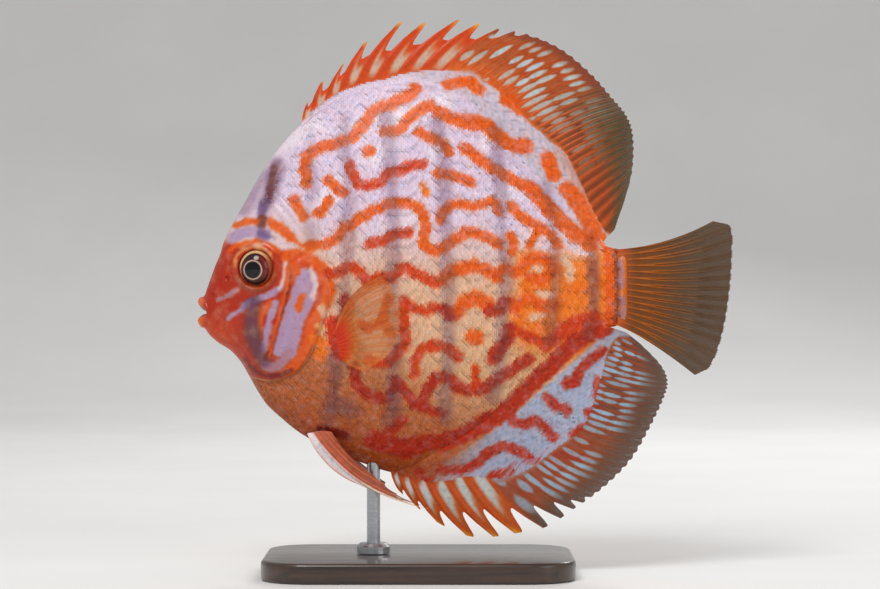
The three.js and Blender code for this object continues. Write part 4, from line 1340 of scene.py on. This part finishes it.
def eye(name, node, side):
    """An eyeball with a domed clear front over a dark iris, a bright ring and a black pupil."""
    bm = bmesh.new()
    bmesh.ops.create_uvsphere(bm, u_segments=96, v_segments=72, radius=1)

    def shape(mesh):
        ball = read_points(mesh)
        x = ball[:, 0] * EYE_RADIUS
        z = ball[:, 1] * EYE_RADIUS * EYE_TALL
        depth = ball[:, 2] * EYE_DEPTH
        at_middle = skin_point(np.array([EYE_U]), RIGHT, np.array([0.0001]), 0, False)
        surface = float(at_middle[1][0])
        centre = surface * 0.97 + EYE_PROUD - EYE_DEPTH
        turned = x * math.cos(EYE_TURN) - depth * math.sin(EYE_TURN)
        out = x * math.sin(EYE_TURN) + depth * math.cos(EYE_TURN) + centre
        write_points(mesh, place(EYE_U + EYE_SHIFT + turned, side * out, EYE_V + z))
        angle = np.arctan2(z, x)
        iris = np.hypot((x - 0.1) / 4.1, (z + 0.25) / 4.55)
        pupil = np.hypot(x + 0.35, z + 0.5)
        top = smooth(-0.3, 0.8, np.sin(angle - 0.5))
        rim = mix(np.array(PALETTE["eye rim"]), np.array(PALETTE["eye rim lit"]), top[:, None])
        tone = plain(len(x), "iris")
        lay(tone, "iris red", smooth(0.55, 0.85, iris) * smooth(0.1, 0.9, np.cos(angle - 0.2)))
        lay(tone, "iris warm", 0.5 * smooth(0.7, 0.95, iris) * smooth(0.3, 0.9, -np.cos(angle)))
        lay(tone, "iris edge", 0.7 * bell(iris, 0.97, 0.05))
        lay(tone, rim, smooth(1.0, 1.06, iris))
        lay(tone, "iris ring", bell(pupil, 2.72, 0.22))
        lay(tone, "pupil", smooth(2.5, 2.36, pupil))
        paint(mesh, tone)

    piece(name, bm, eye_finish, (node,), shape)


eye_finish = Finish("eye", Roughness=0.1, Coat_Weight=0.3, Coat_Roughness=0.03, Specular_IOR_Level=0.25)
streaks = eye_finish.noise(1500, 2)
streaky = eye_finish.span(streaks, 0.4, 0.7, 0, 0.3)
painted_eye = eye_finish.attribute("Paint")
eye_finish.set("Base Color", eye_finish.blend(streaky, painted_eye, solid("iris streak"), "SOFT_LIGHT"))
for suffix, flank in SIDES:
    eye("eyeball_" + suffix, "eye_" + suffix, flank)

# Stand
BASE_CORNER = 0.014
BASE_RIM = 0.0011
base_finish = Finish("dark wood", Roughness=0.32, Coat_Weight=0.5, Coat_Roughness=0.12)
grain = base_finish.noise(38, 6, base_finish.stretched(1, 14, 14), 0.62)
base_finish.set("Base Color", base_finish.ramp(grain, (0.3, "wood dark"), (0.62, "wood light")))
base_finish.set("Roughness", base_finish.span(grain, 0.3, 0.7, 0.26, 0.4))
base_finish.bump(grain, 0.00006)
rod_finish = Finish("brushed steel", Metallic=1.0, Roughness=0.3)
brush = rod_finish.noise(90, 3, rod_finish.stretched(1, 1, 30))
rod_finish.set("Base Color", rod_finish.ramp(brush, (0.3, "steel dark"), (0.7, "steel light")))
rod_finish.set("Roughness", rod_finish.span(brush, 0.3, 0.7, 0.22, 0.38))


def stand_base():
    """A low block the size of the solid's, its corners rounded and its rims eased."""
    low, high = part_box("stand_base")
    size = high - low
    bm = bmesh.new()
    bmesh.ops.create_cube(bm, size=1)
    bmesh.ops.scale(bm, verts=bm.verts, vec=size)
    corners = [e for e in bm.edges if abs(e.verts[0].co.z - e.verts[1].co.z) > 1e-4]
    bmesh.ops.bevel(
        bm, geom=corners, offset=BASE_CORNER, segments=14, profile=0.5, affect="EDGES", material=-1)
    rims = [e for e in bm.edges if any(len(f.verts) > 8 for f in e.link_faces)]
    bmesh.ops.bevel(bm, geom=rims, offset=BASE_RIM, segments=4, profile=0.5, affect="EDGES", material=-1)
    bmesh.ops.translate(bm, verts=bm.verts, vec=(low + high) / 2)
    piece("base", bm, base_finish, ("stand_base",), None, 30)


stand_base()

# The rod is the solid itself with its finish changed.
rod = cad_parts["stand_rod"]
rod.data.materials.clear()
rod.data.materials.append(rod_finish.material)


# Floor and light
FLOOR_HALF = 2.5
SWEEP_START = 0.9
SWEEP_CURVE = 0.9
floor_finish = Finish("studio paper", Roughness=0.8)
paper = floor_finish.noise(9, 3)
floor_finish.set("Base Color", floor_finish.ramp(paper, (0.3, "paper dark"), (0.7, "paper light")))


def studio_floor():
    """A paper sweep: flat under the fish, curving up far behind it."""
    bm = bmesh.new()
    bmesh.ops.create_grid(bm, x_segments=2, y_segments=40, size=FLOOR_HALF)
    for v in bm.verts:
        rise = max(0.0, v.co.y - SWEEP_START)
        v.co.z = rise * rise * SWEEP_CURVE
    mesh = bpy.data.meshes.new("floor")
    bm.to_mesh(mesh)
    bm.free()
    mesh.shade_smooth()
    mesh.materials.append(floor_finish.material)
    floor = bpy.data.objects.new("floor", mesh)
    bpy.context.scene.collection.objects.link(floor)


studio_floor()
LAMP_TARGET = (0, 0, 0.086)


def lamp(name, at, size, power):
    """A soft round lamp turned to the fish."""
    light = bpy.data.objects.new(name, bpy.data.lights.new(name, "AREA"))
    light.data.shape = "DISK"
    light.data.size = size
    light.data.energy = power
    light.location = at
    light.rotation_mode = "QUATERNION"
    light.rotation_quaternion = (Vector(at) - Vector(LAMP_TARGET)).to_track_quat("Z", "Y")
    bpy.context.scene.collection.objects.link(light)


lamp("key", at=(-0.3, -0.68, 0.9), size=0.45, power=6.2)
lamp("fill", at=(0.75, -0.7, 0.4), size=0.7, power=1.6)
lamp("back", at=(0.3, 0.8, 0.7), size=0.5, power=4)
world = bpy.data.worlds.new("studio")
world.use_nodes = True
surround = world.node_tree.nodes["Background"]
surround.inputs["Color"].default_value = (1, 1, 1, 1)
surround.inputs["Strength"].default_value = 0.44
bpy.context.scene.world = world
